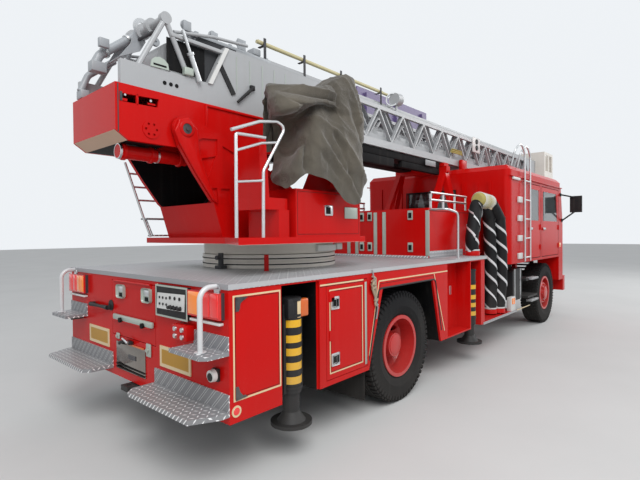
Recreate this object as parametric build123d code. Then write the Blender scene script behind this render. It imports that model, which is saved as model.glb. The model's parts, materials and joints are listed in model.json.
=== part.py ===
from build123d import *
import math
import os

os.makedirs("parts", exist_ok=True)

# Stations run forward from the rear face of the body, in mm. +X is forward, +Y is
# the driver's left, +Z is up and the ground is at zero.

# Overall sizes
BODY_HALF_WIDTH = 1240
BODY_LOW_Z = 440
DECK_TOP_Z = 1300
DECK_SHEET = 8
DECK_LIP = 35
DECK_OVERHANG = 6
DECK_END_X = 4060
BODY_TOP_Z = DECK_TOP_Z - DECK_SHEET
PANEL = 20
WALL = 15
TIP_END_X = 10400

# Wheels
TYRE_R = 525
TYRE_WIDTH = 278
TYRE_WALL = 28
BEAD_SET = 30
RIM_R = 292
RIM_SHEET = 12
RIM_SEAT = RIM_R - 22
RIM_FLANGE = 14
SEAT_GAP = 0.3
REAR_AXLE_X = 2055
FRONT_AXLE_X = 6950
FRONT_TRACK_HALF = 1040
TWIN_OUTER_Y = 1065
TWIN_SPACING = 320
HUB_R = 110
JOURNAL_R = 50
BEARING_FIT = 0.1
KINGPIN_Y = 850
KINGPIN_R = 22
FRONT_HOLES = (8, 205, 24)
REAR_HOLES = (6, 215, 32)

# Chassis frame
RAIL_OUT_Y = 430
RAIL_FLANGE = 75
RAIL_LOW_Z = 640
RAIL_TOP_Z = 880
RAIL_SHEET = 9
RAIL_START_X = 60
RAIL_END_X = 7880
CROSS_MEMBER_X = (60, 1200, 2900, 4300, 5400, 7760)
CROSS_MEMBER_LENGTH = 90
TORSION_X = (420, 3950)
TORSION_SHEET = 12
LEAF_SHARES = (1.0, 0.8, 0.6, 0.42, 0.25)
LEAF_THICK = 14
LEAF_HALF_WIDTH = 38
REAR_SPRING = (680, 475)
FRONT_SPRING = (620, 392)
ENGINE = (6650, 7650, 690, 1100)
TANK = (5330, 5750, 560, 1040)
TANK_OUT_Y = 1150
STEP_BOX = (5770, 6290, 540, 900)
STEP_BOX_OUT_Y = 880
ENTRY_STEPS = ((560, 1225), (830, 1200))
ENTRY_STEP_SHEET = 30

# Towing eye, on a tongue under the rear skin
TOW_EYE_X = -35
TOW_EYE_R = 20
TOW_TONGUE = (-75, 90, 390, 430)
TOW_HALF_WIDTH = 55
TOW_HANGER_X = 60

# Outriggers
JACK_BAYS = ((455, 815), (3575, 3885))
JACK_LEG_X = (612, 3730)
BEAM_WIDTH = 110
BEAM_HEIGHT = 170
BEAM_OFFSET_X = 70
BEAM_GAP = 5
SLEEVE_WALL = 8
SLEEVE_HALF_LENGTH = 1040
BEAM_MID_Z = 1000
BEAM_INNER_Y = 950
LEG_TUBE_R = 76
LEG_WALL = 10
LEG_GAP = 6
LEG_Y = 1152
LEG_TUBE_LOW_Z = 470
LEG_TUBE_TOP_Z = 1150
FOOT_R = 150
FOOT_LOW_Z = 240
FOOT_SHEET = 25
FOOT_CONE = (105, 58, 70)

# Rear body: stations of the arch, locker and hatch openings
ARCH_LOW_X = (1460, 2790)
ARCH_TOP_X = (1680, 2610)
ARCH_TOP_Z = 1120
ARCH_IN_Y = 560
LINTEL = 40
LOCKER = (905, 1440, 480, 1225)
LOCKER_IN_Y = 800
FENDER_END_X = 2950
WING_Y = 1060
POST_END_X = 4000
PLATFORM_END_X = 5230
PLATFORM_IN_Y = 760
PLATFORM_Z = 460
PLATFORM_SHEET = 30
HATCH = (-360, 360, 780, 1236)
DOOR_SLIT = 5
HINGE_R = 8
HINGE_STAND = HINGE_R + 0.3
STEP_IN_Y = 350
STEP_DEPTH = 240
STEP_Z = 520
STEP_SHEET = 30
KICK_H = 105
SMALL_STEP = (370, 190, 890, 25)
GRAB_RAIL = (110, 130, 1282, 17)

# Turntable
SLEW_X = 1460
RING_R = 670
RING_TOP_Z = 1420
RING_BORE_R = 540
RING_GROOVE_Z = 1360
TABLE_LOW_Z = 1530
TABLE_TOP_Z = 1580
TABLE_REAR_X = 490
TABLE_FRONT_X = 2060
TABLE_RIGHT_Y = -1050
TABLE_LEFT_Y = 700
CHEEK_IN_Y = 386
CHEEK_SHEET = 34
CHEEK_RIB = 14
PIVOT_X = 233
PIVOT_Z = 2409
PIVOT_R = 45
PIVOT_BOSS_R = 100
CHEEK = ((150, 2350), (173, 2281), (310, 2078), (457, 1882), (481, 1863), (566, TABLE_TOP_Z),
         (1940, TABLE_TOP_Z), (1890, 1700), (1300, 2090), (1004, 2215), (793, 2289), (560, 2420),
         (300, 2497))
# pockets pressed into the cheek's outer face
CHEEK_POCKETS = (
    ((265, 2304), (382, 2364), (524, 2376), (523, 2250), (312, 2204)),
    ((323, 2191), (504, 2237), (423, 2009)),
    ((435, 1976), (518, 1981), (529, 1850)),
    ((555, 1979), (644, 1984), (655, 1850), (554, 1846)),
    ((575, 2330), (760, 2262), (965, 2180), (700, 2010), (585, 2015)),
    ((720, 1960), (1010, 2150), (1230, 2060), (1500, 1880), (700, 1850)),
)
APRON = ((481, 1863), (566, TABLE_TOP_Z), (600, TABLE_TOP_Z), (515, 1863))
RAIL_Y = -1010
# canvas cover: its outline (x, z) from the side and (x, y) from above
COVER = ((755, 1985), (755, 2475), (690, 2500), (700, 2825), (1190, 2873), (1341, 2967), (1499, 2990),
         (1575, 2900), (1660, 2381), (1650, 2151), (1540, 1827), (1258, 1859), (1129, 2043), (800, 2060))
COVER_PLAN = ((680, -1120), (680, -790), (1000, -600), (1670, -600), (1670, -1120))
COVER_Z = (1800, 3000)
RAIL_TUBE_R = 17
# access ladder at the table's left edge: top and foot (x, z), y, width and step heights
ACCESS_LADDER = ((262, 2283), (534, TABLE_TOP_Z), 640, 300)
ACCESS_STEPS_Z = (1760, 1910, 2070, 2230)

# Elevating frame and lift cylinders
ARM_OUT_Y = 372
ARM_SHEET = 20
ARM_LOW_Z = 2272
ARM_TOP_Z = 2660
ARM_REAR_X = -280
ARM_FRONT_X = 1956
ARM_CHIN = (90, 62)
ARM_BELLY = ((560, ARM_LOW_Z), (1042, 2317), (ARM_FRONT_X, 2536))
ARM_SLOT = ((-245, 2590), (43, 2605), (32, 2542), (-228, 2533))
TAIL_BOX_X = 110
HOLE_PLATE = (-20, 2373, 67)
LIFT_BASE_X = 700
LIFT_BASE_Z = 1690
LIFT_EYE_X = 1700
LIFT_EYE_Z = 2440
LIFT_Y = 250
LIFT_BARREL_R = 75
LIFT_ROD_R = 42
LIFT_PIN_R = 30
LIFT_EYE_WIDTH = 80
LIFT_EYE_R = 60
BARREL_MOUTH = 110
LUG_SHEET = 24

# Ladder sections: outer half width, low and top height, rear and front station
LADDER_SECTIONS = {
    "base_ladder": (372, ARM_TOP_Z, 3165, -240, 8900),
    "second_ladder": (324, 2726, 3200, 420, 9200),
    "third_ladder": (276, 2788, 3238, 560, 9450),
    "fly_ladder": (228, 2850, 3276, 700, 9700),
}
CHORD_THICK = 40
LADDER_FLOOR = 40
LOW_CHORD_H = 90
TOP_CHORD_H = 45
BRACE_W = 26
PANEL_PITCH = 560
END_MARGIN = 100
RUNG_PITCH = 350
RUNG_SIZE = 28
WINCH_APEX = (113, 3229)
WINCH_FEET_X = (-157, 360)
DRUM = (230, 2960, 140)
SHEAVE_Y = (-150, 0, 150)
# the base section's tail is only a low rail, up to a slanted edge; plain side sheets follow it
BASE_TAIL = ((470, 2830), (640, 3170))
SIDE_SHEET_END_X = 1350
SIDE_BOARD = (3485, 5510, 2900, 3700, 20)
SEARCHLIGHT = (3340, 3315, 80)
BASKET_HALF_WIDTH = 430
BASKET_Z = (2860, 3480)
BASKET_SHEET = 20

# Between turntable and cab
MID_TOP_Z = 1900
MID_REAR_X = 3160
MID_FRONT_X = 4860
MID_HALF = 900
MID_RAIL_X = (3300, 3800, 4300)
REST_X = (4600, 4720)
REST_TOP_Z = 2600
REST_GAP = 8
HOSE_R = 72
HOSE_Y = 150 - BODY_HALF_WIDTH
HOSE_LEAN = 50
HOSE_TOP_Z = 2080
STRAINER = ((3960, 2150), (4640, 2130), 110)
HOSE_FEET = ((3975, DECK_TOP_Z), (4440, PLATFORM_Z), (4640, PLATFORM_Z))

# Cab
CAB_REAR_X = 4950
CAB_FRONT_X = 7880
CAB_HALF_WIDTH = 1235
CAB_CORNER_R = 90
CAB_FLOOR_Z = 1140
CAB_FLOOR_SHEET = 40
CAB_WALL = 35
CAB_LEAN = 130
GUTTER_Z = 2420
ROOF_TOP_Z = 2585
BELT_Z = 1760
WINDOW_LOW_Z = BELT_Z + 30
WINDOW_TOP_Z = 2310
SCREEN_MARGIN = 110
REAR_WINDOW = (420, 1880, 2250)
DOOR_LOW_Z = 1185
DOOR_TOP_Z = 2370
DOOR_GAP = 6
DOOR_SHEET = 30
REAR_DOOR = (5800, 6420)
FRONT_DOOR = (6520, 7560)
REAR_DOOR_WINDOW = ((5870, 1790), (6350, 1790), (6350, 2290), (5870, 2290))
FRONT_DOOR_WINDOW = ((6590, 1790), (7490, 1790), (7420, 2290), (6590, 2290))
SKIRT_X = 7600
SKIRT_LOW_Z = 700
BUMPER = (20, 230, 480, 760)
GRILLE = (5, 62, 34, 700)
GRILLE_POST_Y = (-700, 0, 670)
HEAD_LAMP = (930, 90, 15)
FRONT_SEAT_Y = 720
SEAT_HALF = 250
SEAT_H = 420
SEAT_BACK_H = 1000
CREW_BENCH = (5040, 5150, 5600, 1000, 900)
STEERING_WHEEL = (7380, 640, 210, 15)
MIRROR_Y = 1450
BEACON = (7000, 850, 75, 65)
ROOF_LADDER_X = (5480, 5740)

MID_X = (ARM_REAR_X + TIP_END_X) / 2


def block(x0, x1, y0, y1, z0, z1):
    centre = Pos((x0 + x1) / 2, (y0 + y1) / 2, (z0 + z1) / 2)
    return centre * Box(abs(x1 - x0), abs(y1 - y0), abs(z1 - z0))


def outline(points):
    return make_face(Polyline(*points, close=True))


def side_plate(points, y0, y1):
    """An outline of (x, z) points, as thick as from y0 to y1."""
    low, high = sorted((y0, y1))
    return Pos(0, low, 0) * extrude(Plane.XZ * outline(points), amount=-(high - low))


def cross_plate(points, x0, x1):
    """An outline of (y, z) points, as thick as from x0 to x1."""
    return Pos(x0, 0, 0) * extrude(Plane.YZ * outline(points), amount=x1 - x0)


def flat_plate(points, z0, z1):
    """An outline of (x, y) points, as thick as from z0 to z1."""
    return Pos(0, 0, z0) * extrude(outline(points), amount=z1 - z0)


def bar_between(a, b, radius):
    start = Vector(*a)
    way = Vector(*b) - start
    return extrude(Plane(origin=start, z_dir=way) * Circle(radius), amount=way.length)


def pin_y(x, z, radius, y0, y1):
    return bar_between((x, y0, z), (x, y1, z), radius)


def upright(x, y, z0, z1, radius):
    return Pos(x, y, (z0 + z1) / 2) * Cylinder(radius, z1 - z0)


def pipe(points, radius, bend):
    path = FilletPolyline(*points, radius=bend)
    return sweep(Plane(origin=path @ 0, z_dir=path % 0) * Circle(radius), path=path)


def joined(*shapes):
    return Part() + list(shapes)


def left_of(shape):
    return mirror(shape, about=Plane.XZ)


def both_sides(*shapes):
    return [*shapes, *(left_of(shape) for shape in shapes)]


def apart(*shapes):
    """Solids of one node that are separate pieces."""
    solids = []
    for shape in shapes:
        solids += list(shape.solids())
    return Compound(children=solids)


def box_of_plates(x0, x1, y0, y1, z0, z1, sheet):
    """Six plates, edge to edge, round a closed space."""
    return [block(x0, x1, y0, y1, z0, z0 + sheet), block(x0, x1, y0, y1, z1 - sheet, z1),
            block(x0, x0 + sheet, y0, y1, z0 + sheet, z1 - sheet),
            block(x1 - sheet, x1, y0, y1, z0 + sheet, z1 - sheet),
            block(x0 + sheet, x1 - sheet, y0, y0 + sheet, z0 + sheet, z1 - sheet),
            block(x0 + sheet, x1 - sheet, y1 - sheet, y1, z0 + sheet, z1 - sheet)]


def save(shape, node):
    export_step(Pos(-MID_X, 0, 0) * shape, f"parts/{node}.step")


# Chassis

def frame_rail():
    """C channel, open towards the middle."""
    inner = RAIL_OUT_Y - RAIL_FLANGE
    low, top = RAIL_LOW_Z, RAIL_TOP_Z
    web = -RAIL_OUT_Y + RAIL_SHEET
    return cross_plate(
        [(-RAIL_OUT_Y, low), (-inner, low), (-inner, low + RAIL_SHEET), (web, low + RAIL_SHEET),
         (web, top - RAIL_SHEET), (-inner, top - RAIL_SHEET), (-inner, top), (-RAIL_OUT_Y, top)],
        RAIL_START_X, RAIL_END_X)


def torsion_box():
    """Box under the deck, open below, whose side walls let the outrigger sleeves through."""
    x0, x1 = TORSION_X
    low, top = RAIL_TOP_Z, BODY_TOP_Z
    sheet = TORSION_SHEET
    half = BEAM_WIDTH / 2 + BEAM_GAP + SLEEVE_WALL
    height = BEAM_HEIGHT / 2 + BEAM_GAP + SLEEVE_WALL
    wall = block(x0, x1, -RAIL_OUT_Y, -RAIL_OUT_Y + sheet, low, top - sheet)
    for leg_x in JACK_LEG_X:
        for way in (-1, 1):
            x = leg_x + way * BEAM_OFFSET_X
            wall -= block(x - half, x + half, -RAIL_OUT_Y - 1, -RAIL_OUT_Y + sheet + 1,
                          BEAM_MID_Z - height, BEAM_MID_Z + height)
    inner = RAIL_OUT_Y - sheet
    return [*both_sides(wall), block(x0, x1, -RAIL_OUT_Y, RAIL_OUT_Y, top - sheet, top),
            block(x0, x0 + sheet, -inner, inner, low, top - sheet),
            block(x1 - sheet, x1, -inner, inner, low, top - sheet)]


def outrigger_sleeve(x):
    outer_w = BEAM_WIDTH + 2 * (BEAM_GAP + SLEEVE_WALL)
    outer_h = BEAM_HEIGHT + 2 * (BEAM_GAP + SLEEVE_WALL)
    sleeve = Box(outer_w, 2 * SLEEVE_HALF_LENGTH, outer_h)
    sleeve -= Box(outer_w - 2 * SLEEVE_WALL, 2 * SLEEVE_HALF_LENGTH + 2, outer_h - 2 * SLEEVE_WALL)
    return Pos(x, 0, BEAM_MID_Z) * sleeve


def tow_tongue():
    x0, x1, z0, z1 = TOW_TONGUE
    half = TOW_HALF_WIDTH
    tongue = block(x0, x1, -half, half, z0, z1)
    tongue -= upright(TOW_EYE_X, 0, z0 - 1, z1 + 1, TOW_EYE_R)
    hanger = block(TOW_HANGER_X, x1, -half, half, z1, RAIL_LOW_Z + RAIL_FLANGE - 15)
    return joined(tongue, hanger)


def chassis_frame():
    web_y = RAIL_OUT_Y - RAIL_SHEET
    low, top = RAIL_LOW_Z + 60, RAIL_TOP_Z - 60
    shapes = both_sides(frame_rail())
    for x in CROSS_MEMBER_X:
        shapes.append(block(x, x + CROSS_MEMBER_LENGTH, -web_y, web_y, low, top))
    shapes += torsion_box()
    for leg_x in JACK_LEG_X:
        for way in (-1, 1):
            shapes.append(outrigger_sleeve(leg_x + way * BEAM_OFFSET_X))
    shapes.append(tow_tongue())
    return apart(*shapes)


def leaf_pack(axle_x, half_length, y, low_z, eye_z):
    """Leaf spring: stacked leaves with a shackle at each end."""
    leaves = []
    top = low_z + len(LEAF_SHARES) * LEAF_THICK
    for row, share in enumerate(LEAF_SHARES):
        z = top - LEAF_THICK * row
        leaves.append(block(axle_x - half_length * share, axle_x + half_length * share,
                            y - LEAF_HALF_WIDTH, y + LEAF_HALF_WIDTH, z, z + LEAF_THICK))
    for end in (-1, 1):
        x = axle_x + end * (half_length - LEAF_THICK)
        leaves.append(block(x - LEAF_THICK, x + LEAF_THICK, y - LEAF_HALF_WIDTH, y + LEAF_HALF_WIDTH,
                            top, eye_z))
    return leaves


def rear_axle():
    z = TYRE_R
    half_length, spring_y = REAR_SPRING
    tube = pin_y(REAR_AXLE_X, z, 70, -ARCH_IN_Y, ARCH_IN_Y)
    case = Pos(REAR_AXLE_X, 0, z) * Sphere(190)
    nose = bar_between((REAR_AXLE_X, 0, z + 20), (REAR_AXLE_X + 300, 0, z + 40), 85)
    shapes = [tube, case, nose]
    for side in (-1, 1):
        y = side * spring_y
        shapes.append(pin_y(REAR_AXLE_X, z, JOURNAL_R, side * ARCH_IN_Y, side * 1120))
        shapes.append(block(REAR_AXLE_X - 60, REAR_AXLE_X + 60, y - 42, y + 42, z, z + 80))
        shapes += leaf_pack(REAR_AXLE_X, half_length, y, z + 15, RAIL_LOW_Z + 130)
        for end in (-1, 1):
            x = REAR_AXLE_X + end * (half_length - LEAF_THICK)
            shapes.append(block(x - 40, x + 40, side * RAIL_OUT_Y, y, RAIL_LOW_Z + 60, RAIL_LOW_Z + 160))
    return joined(*shapes)


def front_axle():
    z = TYRE_R
    end_y = KINGPIN_Y - 20
    half_length, spring_y = FRONT_SPRING
    beam = cross_plate([(-end_y, z - 45), (-560, z - 70), (560, z - 70), (end_y, z - 45),
                        (end_y, z + 45), (560, z + 10), (-560, z + 10), (-end_y, z + 45)],
                       FRONT_AXLE_X - 45, FRONT_AXLE_X + 45)
    shapes = [beam]
    for side in (-1, 1):
        shapes.append(upright(FRONT_AXLE_X, side * KINGPIN_Y, z - 45, z + 45, 45))
        shapes += leaf_pack(FRONT_AXLE_X, half_length, side * spring_y, z - 5, RAIL_LOW_Z)
    axle = joined(*shapes)
    for side in (-1, 1):
        axle -= upright(FRONT_AXLE_X, side * KINGPIN_Y, z - 200, z + 200, KINGPIN_R + BEARING_FIT)
    return axle


def knuckle(side):
    """The stub axle that turns about the kingpin."""
    y, z = side * KINGPIN_Y, TYRE_R
    shapes = [upright(FRONT_AXLE_X, y, z - 120, z + 120, KINGPIN_R)]
    for end in (-1, 1):
        shapes.append(Pos(FRONT_AXLE_X, y, z + end * 85) * Cylinder(46, 60))
    plate = block(FRONT_AXLE_X - 40, FRONT_AXLE_X + 40, side * (KINGPIN_Y + 20), side * (KINGPIN_Y + 60),
                  z - 115, z + 115)
    plate -= upright(FRONT_AXLE_X, y, z - 55, z + 55, 51)
    shapes.append(plate)
    shapes.append(pin_y(FRONT_AXLE_X, z, JOURNAL_R, side * (KINGPIN_Y + 56), side * (FRONT_TRACK_HALF + 60)))
    return joined(*shapes)


def revolved_about_y(points, x, z):
    """A profile of (y, radius) points turned about the axle line at (x, z)."""
    face = make_face(Polyline(*points, close=True))
    placed = Plane(origin=(x, 0, z), x_dir=(0, 1, 0), z_dir=(1, 0, 0)) * face
    return revolve(placed, axis=Axis((x, 0, z), (0, 1, 0)))


def tyre(axle_x, mid_y):
    """Hollow tyre: beads, sidewalls, rounded shoulders and a flat tread."""
    side_half = TYRE_WIDTH / 2
    bead_half = side_half - BEAD_SET
    wall = TYRE_WALL
    outer = [(bead_half, RIM_SEAT), (bead_half, RIM_R + 6), (side_half, RIM_SEAT + 90),
             (side_half, TYRE_R - 70), (side_half - 32, TYRE_R - 8), (side_half - 70, TYRE_R)]
    inner = [(bead_half - wall, RIM_SEAT), (side_half - wall, RIM_SEAT + 95),
             (side_half - wall, TYRE_R - 70), (side_half - wall - 30, TYRE_R - 34)]
    profile = [(-y, r) for y, r in outer] + outer[::-1] + inner + [(-y, r) for y, r in inner[::-1]]
    return revolved_about_y([(mid_y + y, r) for y, r in profile], axle_x, TYRE_R)


def rim_barrel(mid_y):
    """The barrel of a rim, as (y, radius) points, under the tyre's beads."""
    bead = TYRE_WIDTH / 2 - BEAD_SET + SEAT_GAP
    edge = bead + RIM_FLANGE
    seat = RIM_SEAT - SEAT_GAP
    floor = RIM_SEAT - RIM_SHEET
    return [(mid_y - edge, RIM_R), (mid_y - bead, RIM_R), (mid_y - bead, seat), (mid_y + bead, seat),
            (mid_y + bead, RIM_R), (mid_y + edge, RIM_R), (mid_y + edge, floor), (mid_y - edge, floor)]


def round_holes(wheel, table, axle_x, y0, y1):
    count, circle_r, radius = table
    for hole in range(count):
        turn = 2 * math.pi * (hole + 0.5) / count
        wheel -= pin_y(axle_x + circle_r * math.cos(turn), TYRE_R + circle_r * math.sin(turn), radius, y0, y1)
    return wheel


def front_wheel(side):
    """A rim whose disc bulges outward round the hub."""
    mid = side * FRONT_TRACK_HALF
    seat = RIM_SEAT - RIM_SHEET + 2
    disc_y = mid + side * 60
    barrel = revolved_about_y(rim_barrel(mid), FRONT_AXLE_X, TYRE_R)
    disc = revolved_about_y([(disc_y - side * 80, seat), (disc_y - side * 68, seat),
                             (disc_y + side * 40, 175), (disc_y + side * 40, 0.0),
                             (disc_y + side * 28, 0.0), (disc_y + side * 28, 170)],
                            FRONT_AXLE_X, TYRE_R)
    hub = pin_y(FRONT_AXLE_X, TYRE_R, HUB_R, side * (FRONT_TRACK_HALF - 75), disc_y + side * 75)
    wheel = round_holes(joined(barrel, disc, hub), FRONT_HOLES, FRONT_AXLE_X, mid - side * 60,
                        mid + side * 140)
    wheel -= pin_y(FRONT_AXLE_X, TYRE_R, JOURNAL_R + BEARING_FIT, side * (FRONT_TRACK_HALF - 80),
                   side * (FRONT_TRACK_HALF + 60 + SEAT_GAP))
    return wheel


def rear_wheel(side):
    """Two rims bolted back to back on one hub, dished deep on the outside."""
    outer = side * TWIN_OUTER_Y
    inner = side * (TWIN_OUTER_Y - TWIN_SPACING)
    seat = RIM_SEAT - RIM_SHEET + 2
    face_y = (outer + inner) / 2
    shapes = [revolved_about_y(rim_barrel(y), REAR_AXLE_X, TYRE_R) for y in (outer, inner)]
    for mid, way in ((outer, side), (inner, -side)):
        shapes.append(revolved_about_y([(face_y, 0.0), (face_y + way * 14, 0.0), (face_y + way * 14, 190),
                                        (mid - way * 30, seat), (mid - way * 44, seat),
                                        (face_y, 196)], REAR_AXLE_X, TYRE_R))
    shapes.append(pin_y(REAR_AXLE_X, TYRE_R, HUB_R, inner - side * 40, outer + side * 60))
    wheel = round_holes(joined(*shapes), REAR_HOLES, REAR_AXLE_X, inner - side * 120, outer + side * 120)
    wheel -= pin_y(REAR_AXLE_X, TYRE_R, JOURNAL_R + BEARING_FIT, inner - side * 60, side * (1120 + SEAT_GAP))
    return wheel


def side_tanks():
    """Fuel and air tanks hung outside the rails, and the entry steps behind the front wheels."""
    shapes = []
    x0, x1, z0, z1 = TANK
    sx0, sx1, sz0, sz1 = STEP_BOX
    for side in (-1, 1):
        near = side * RAIL_OUT_Y
        tank = block(x0, x1, side * TANK_OUT_Y, near, z0, z1)
        shapes.append(fillet(tank.edges().filter_by(Axis.Y), 60))
        steps = block(sx0, sx1, side * STEP_BOX_OUT_Y, near, sz0, sz1)
        for step_z, out in ENTRY_STEPS:
            steps += block(sx0 + 30, sx1, side * STEP_BOX_OUT_Y, side * out, step_z, step_z + ENTRY_STEP_SHEET)
        shapes.append(steps)
    return apart(*shapes)


def engine_block():
    x0, x1, z0, z1 = ENGINE
    half = RAIL_OUT_Y - RAIL_FLANGE
    return block(x0, x1, -half, half, z0, z1)


# Rear body

def side_skins():
    """Right skin of the rear body, as the panels between its openings."""
    low, top = BODY_LOW_Z, BODY_TOP_Z
    y0, y1 = -BODY_HALF_WIDTH, -BODY_HALF_WIDTH + PANEL
    bay0, bay1 = JACK_BAYS[0][0] - WALL, JACK_BAYS[0][1] + WALL
    door0, door1, door_low, door_top = LOCKER
    (arch0, arch3), (arch1, arch2) = ARCH_LOW_X, ARCH_TOP_X
    boxes = ((0, bay0, low, top), (bay0, bay1, top - LINTEL, top), (bay1, door0, low, top),
             (door0, door1, low, door_low), (door0, door1, door_top, top),
             (arch1, arch2, ARCH_TOP_Z, top))
    rear_post = [(door1, low), (arch0, low), (arch1, ARCH_TOP_Z), (arch1, top), (door1, top)]
    front_post = [(arch2, ARCH_TOP_Z), (arch3, low), (FENDER_END_X, low), (FENDER_END_X, top), (arch2, top)]
    return [*(block(x0, x1, y0, y1, z0, z1) for x0, x1, z0, z1 in boxes),
            side_plate(rear_post, y0, y1), side_plate(front_post, y0, y1)]


def side_liners():
    """Walls behind the right skin: bay partitions, locker's back and floor, wheel arch."""
    low, top = BODY_LOW_Z, BODY_TOP_Z
    skin = -BODY_HALF_WIDTH + PANEL
    bay0, bay1 = JACK_BAYS[0]
    (arch0, arch3), (arch1, arch2) = ARCH_LOW_X, ARCH_TOP_X
    back0, back1 = -LOCKER_IN_Y - WALL, -LOCKER_IN_Y
    crown = ARCH_TOP_Z + WALL
    door1 = LOCKER[1]
    shapes = [block(bay0 - WALL, bay0, skin, -RAIL_OUT_Y, low, top),
              block(bay1, bay1 + WALL, skin, -RAIL_OUT_Y, low, top),
              block(bay1 + WALL, door1, back0, back1, low, top),
              block(bay1 + WALL, door1, skin, back0, low, low + WALL),
              block(PANEL, bay0 - WALL, skin, -RAIL_OUT_Y, low, low + WALL),
              block(arch1, arch2, skin, -ARCH_IN_Y, ARCH_TOP_Z, crown),
              block(FENDER_END_X - WALL, FENDER_END_X, skin, -RAIL_OUT_Y, low, top)]
    for foot, head, way in ((arch0, arch1, -1), (arch3, arch2, 1)):
        shapes.append(side_plate([(foot, low), (head, ARCH_TOP_Z), (head, crown), (head + way * WALL, crown),
                                  (foot + way * WALL, low)], skin, -ARCH_IN_Y))
    return shapes


def front_wing():
    """Recessed panel and posts round the right front jack bay, and the low platform beyond."""
    top, low, out = BODY_TOP_Z, BODY_LOW_Z, BODY_HALF_WIDTH
    bay0, bay1 = JACK_BAYS[1]
    return [
        block(FENDER_END_X, bay0 - WALL, -WING_Y, -WING_Y + PANEL, low, top),
        block(FENDER_END_X, bay0 - WALL, -out, -WING_Y, low, low + WALL),
        block(bay0 - WALL, bay0, -out, -RAIL_OUT_Y, low, top),
        block(bay1, bay1 + WALL, -out, -RAIL_OUT_Y, low, top),
        block(bay0, bay1, -out, -out + PANEL, top - LINTEL, top),
        block(bay1 + WALL, POST_END_X, -out, -out + PANEL, low, top),
        block(POST_END_X - WALL, POST_END_X, -out + PANEL, -RAIL_OUT_Y, low, top),
        block(POST_END_X, PLATFORM_END_X, -out, -PLATFORM_IN_Y, PLATFORM_Z - PLATFORM_SHEET, PLATFORM_Z),
        block(POST_END_X, MID_FRONT_X, -PLATFORM_IN_Y, -PLATFORM_IN_Y + WALL,
              PLATFORM_Z - PLATFORM_SHEET, DECK_TOP_Z - DECK_LIP)]


def rear_body():
    """Both body sides and the rear skin round its hatch opening."""
    skin = BODY_HALF_WIDTH - PANEL
    low, top = BODY_LOW_Z, BODY_TOP_Z
    y0, y1, z0, z1 = HATCH
    rear = [block(0, PANEL, -skin, y0, low, top), block(0, PANEL, y1, skin, low, top),
            block(0, PANEL, y0, y1, low, z0), block(0, PANEL, y0, y1, z1, top)]
    bracket = block(PANEL, RAIL_START_X, -RAIL_OUT_Y, RAIL_OUT_Y, RAIL_LOW_Z + 60, RAIL_LOW_Z + 120)
    return apart(*rear, bracket, *both_sides(*side_skins(), *side_liners(), *front_wing()))


def deck_plate():
    """Checkered deck with a turned-down lip round its edge."""
    out = BODY_HALF_WIDTH
    edge = DECK_OVERHANG
    low, sheet_z = DECK_TOP_Z - DECK_LIP, BODY_TOP_Z
    sheet = block(-edge, DECK_END_X, -out - edge, out + edge, sheet_z, DECK_TOP_Z)
    side_lip = block(-edge, DECK_END_X, -out - edge, -out, low, sheet_z)
    return apart(sheet, *both_sides(side_lip), block(-edge, 0, -out, out, low, sheet_z),
                 block(DECK_END_X - edge, DECK_END_X, -out, out, low, sheet_z))


def locker_door(side):
    """Locker door between the jack bay and the wheel arch, on a long hinge at its front edge."""
    out = BODY_HALF_WIDTH
    x0, x1, z0, z1 = LOCKER
    slit = DOOR_SLIT
    front = x1 - slit
    door = block(x0 + slit, front, -out, -out + PANEL, z0 + slit, z1 - slit)
    for z in (780, 1080):
        door += block(x0 + 35, x0 + 95, -out - 6, -out, z, z + 80)
    door += block(front - 40, front, -out - 4, -out, z0 + 20, z1 - 20)
    door += upright(front, -out - HINGE_STAND, z0 + 20, z1 - 20, HINGE_R)
    return door if side < 0 else left_of(door)


def rear_hatch():
    y0, y1, z0, z1 = HATCH
    slit = DOOR_SLIT
    top = z1 - slit
    door = block(0, PANEL, y0 + slit, y1 - slit, z0 + slit, top)
    for y in (-230, 200):
        door += block(-8, 0, y - 30, y + 30, 1120, 1180)
    door += block(-22, 0, -310, 310, 905, 950)
    door += block(-4, 0, -300, 300, top - 40, top)
    door += bar_between((-HINGE_STAND, -300, top), (-HINGE_STAND, 300, top), HINGE_R)
    return door


def rear_steps():
    """Lower and upper checkered steps at both rear corners, with bent grab rails."""
    out = BODY_HALF_WIDTH
    inner, depth = STEP_IN_Y, STEP_DEPTH
    low = flat_plate([(0, -out), (-60, -out), (-depth, -out + 90), (-depth, -inner - 60),
                      (-depth + 60, -inner), (0, -inner)], STEP_Z - STEP_SHEET, STEP_Z)
    low += block(-10, 0, -out, -inner, STEP_Z, STEP_Z + KICK_H)
    width, reach, top_z, sheet = SMALL_STEP
    small = flat_plate([(0, -out), (-reach + 40, -out), (-reach, -out + 40), (-reach, -out + width),
                        (0, -out + width)], top_z - sheet, top_z)
    small += block(-10, 0, -out, -out + width, top_z, top_z + KICK_H - 15)
    in_from_edge, stand, rail_top, r = GRAB_RAIL
    y = -out + in_from_edge
    small += pipe([(-stand, y, top_z), (-stand, y, rail_top), (-DECK_OVERHANG, y, rail_top)], r, 75)
    small += upright(-stand, y, top_z, top_z + 8, 38)
    return apart(*both_sides(low, small))


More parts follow.
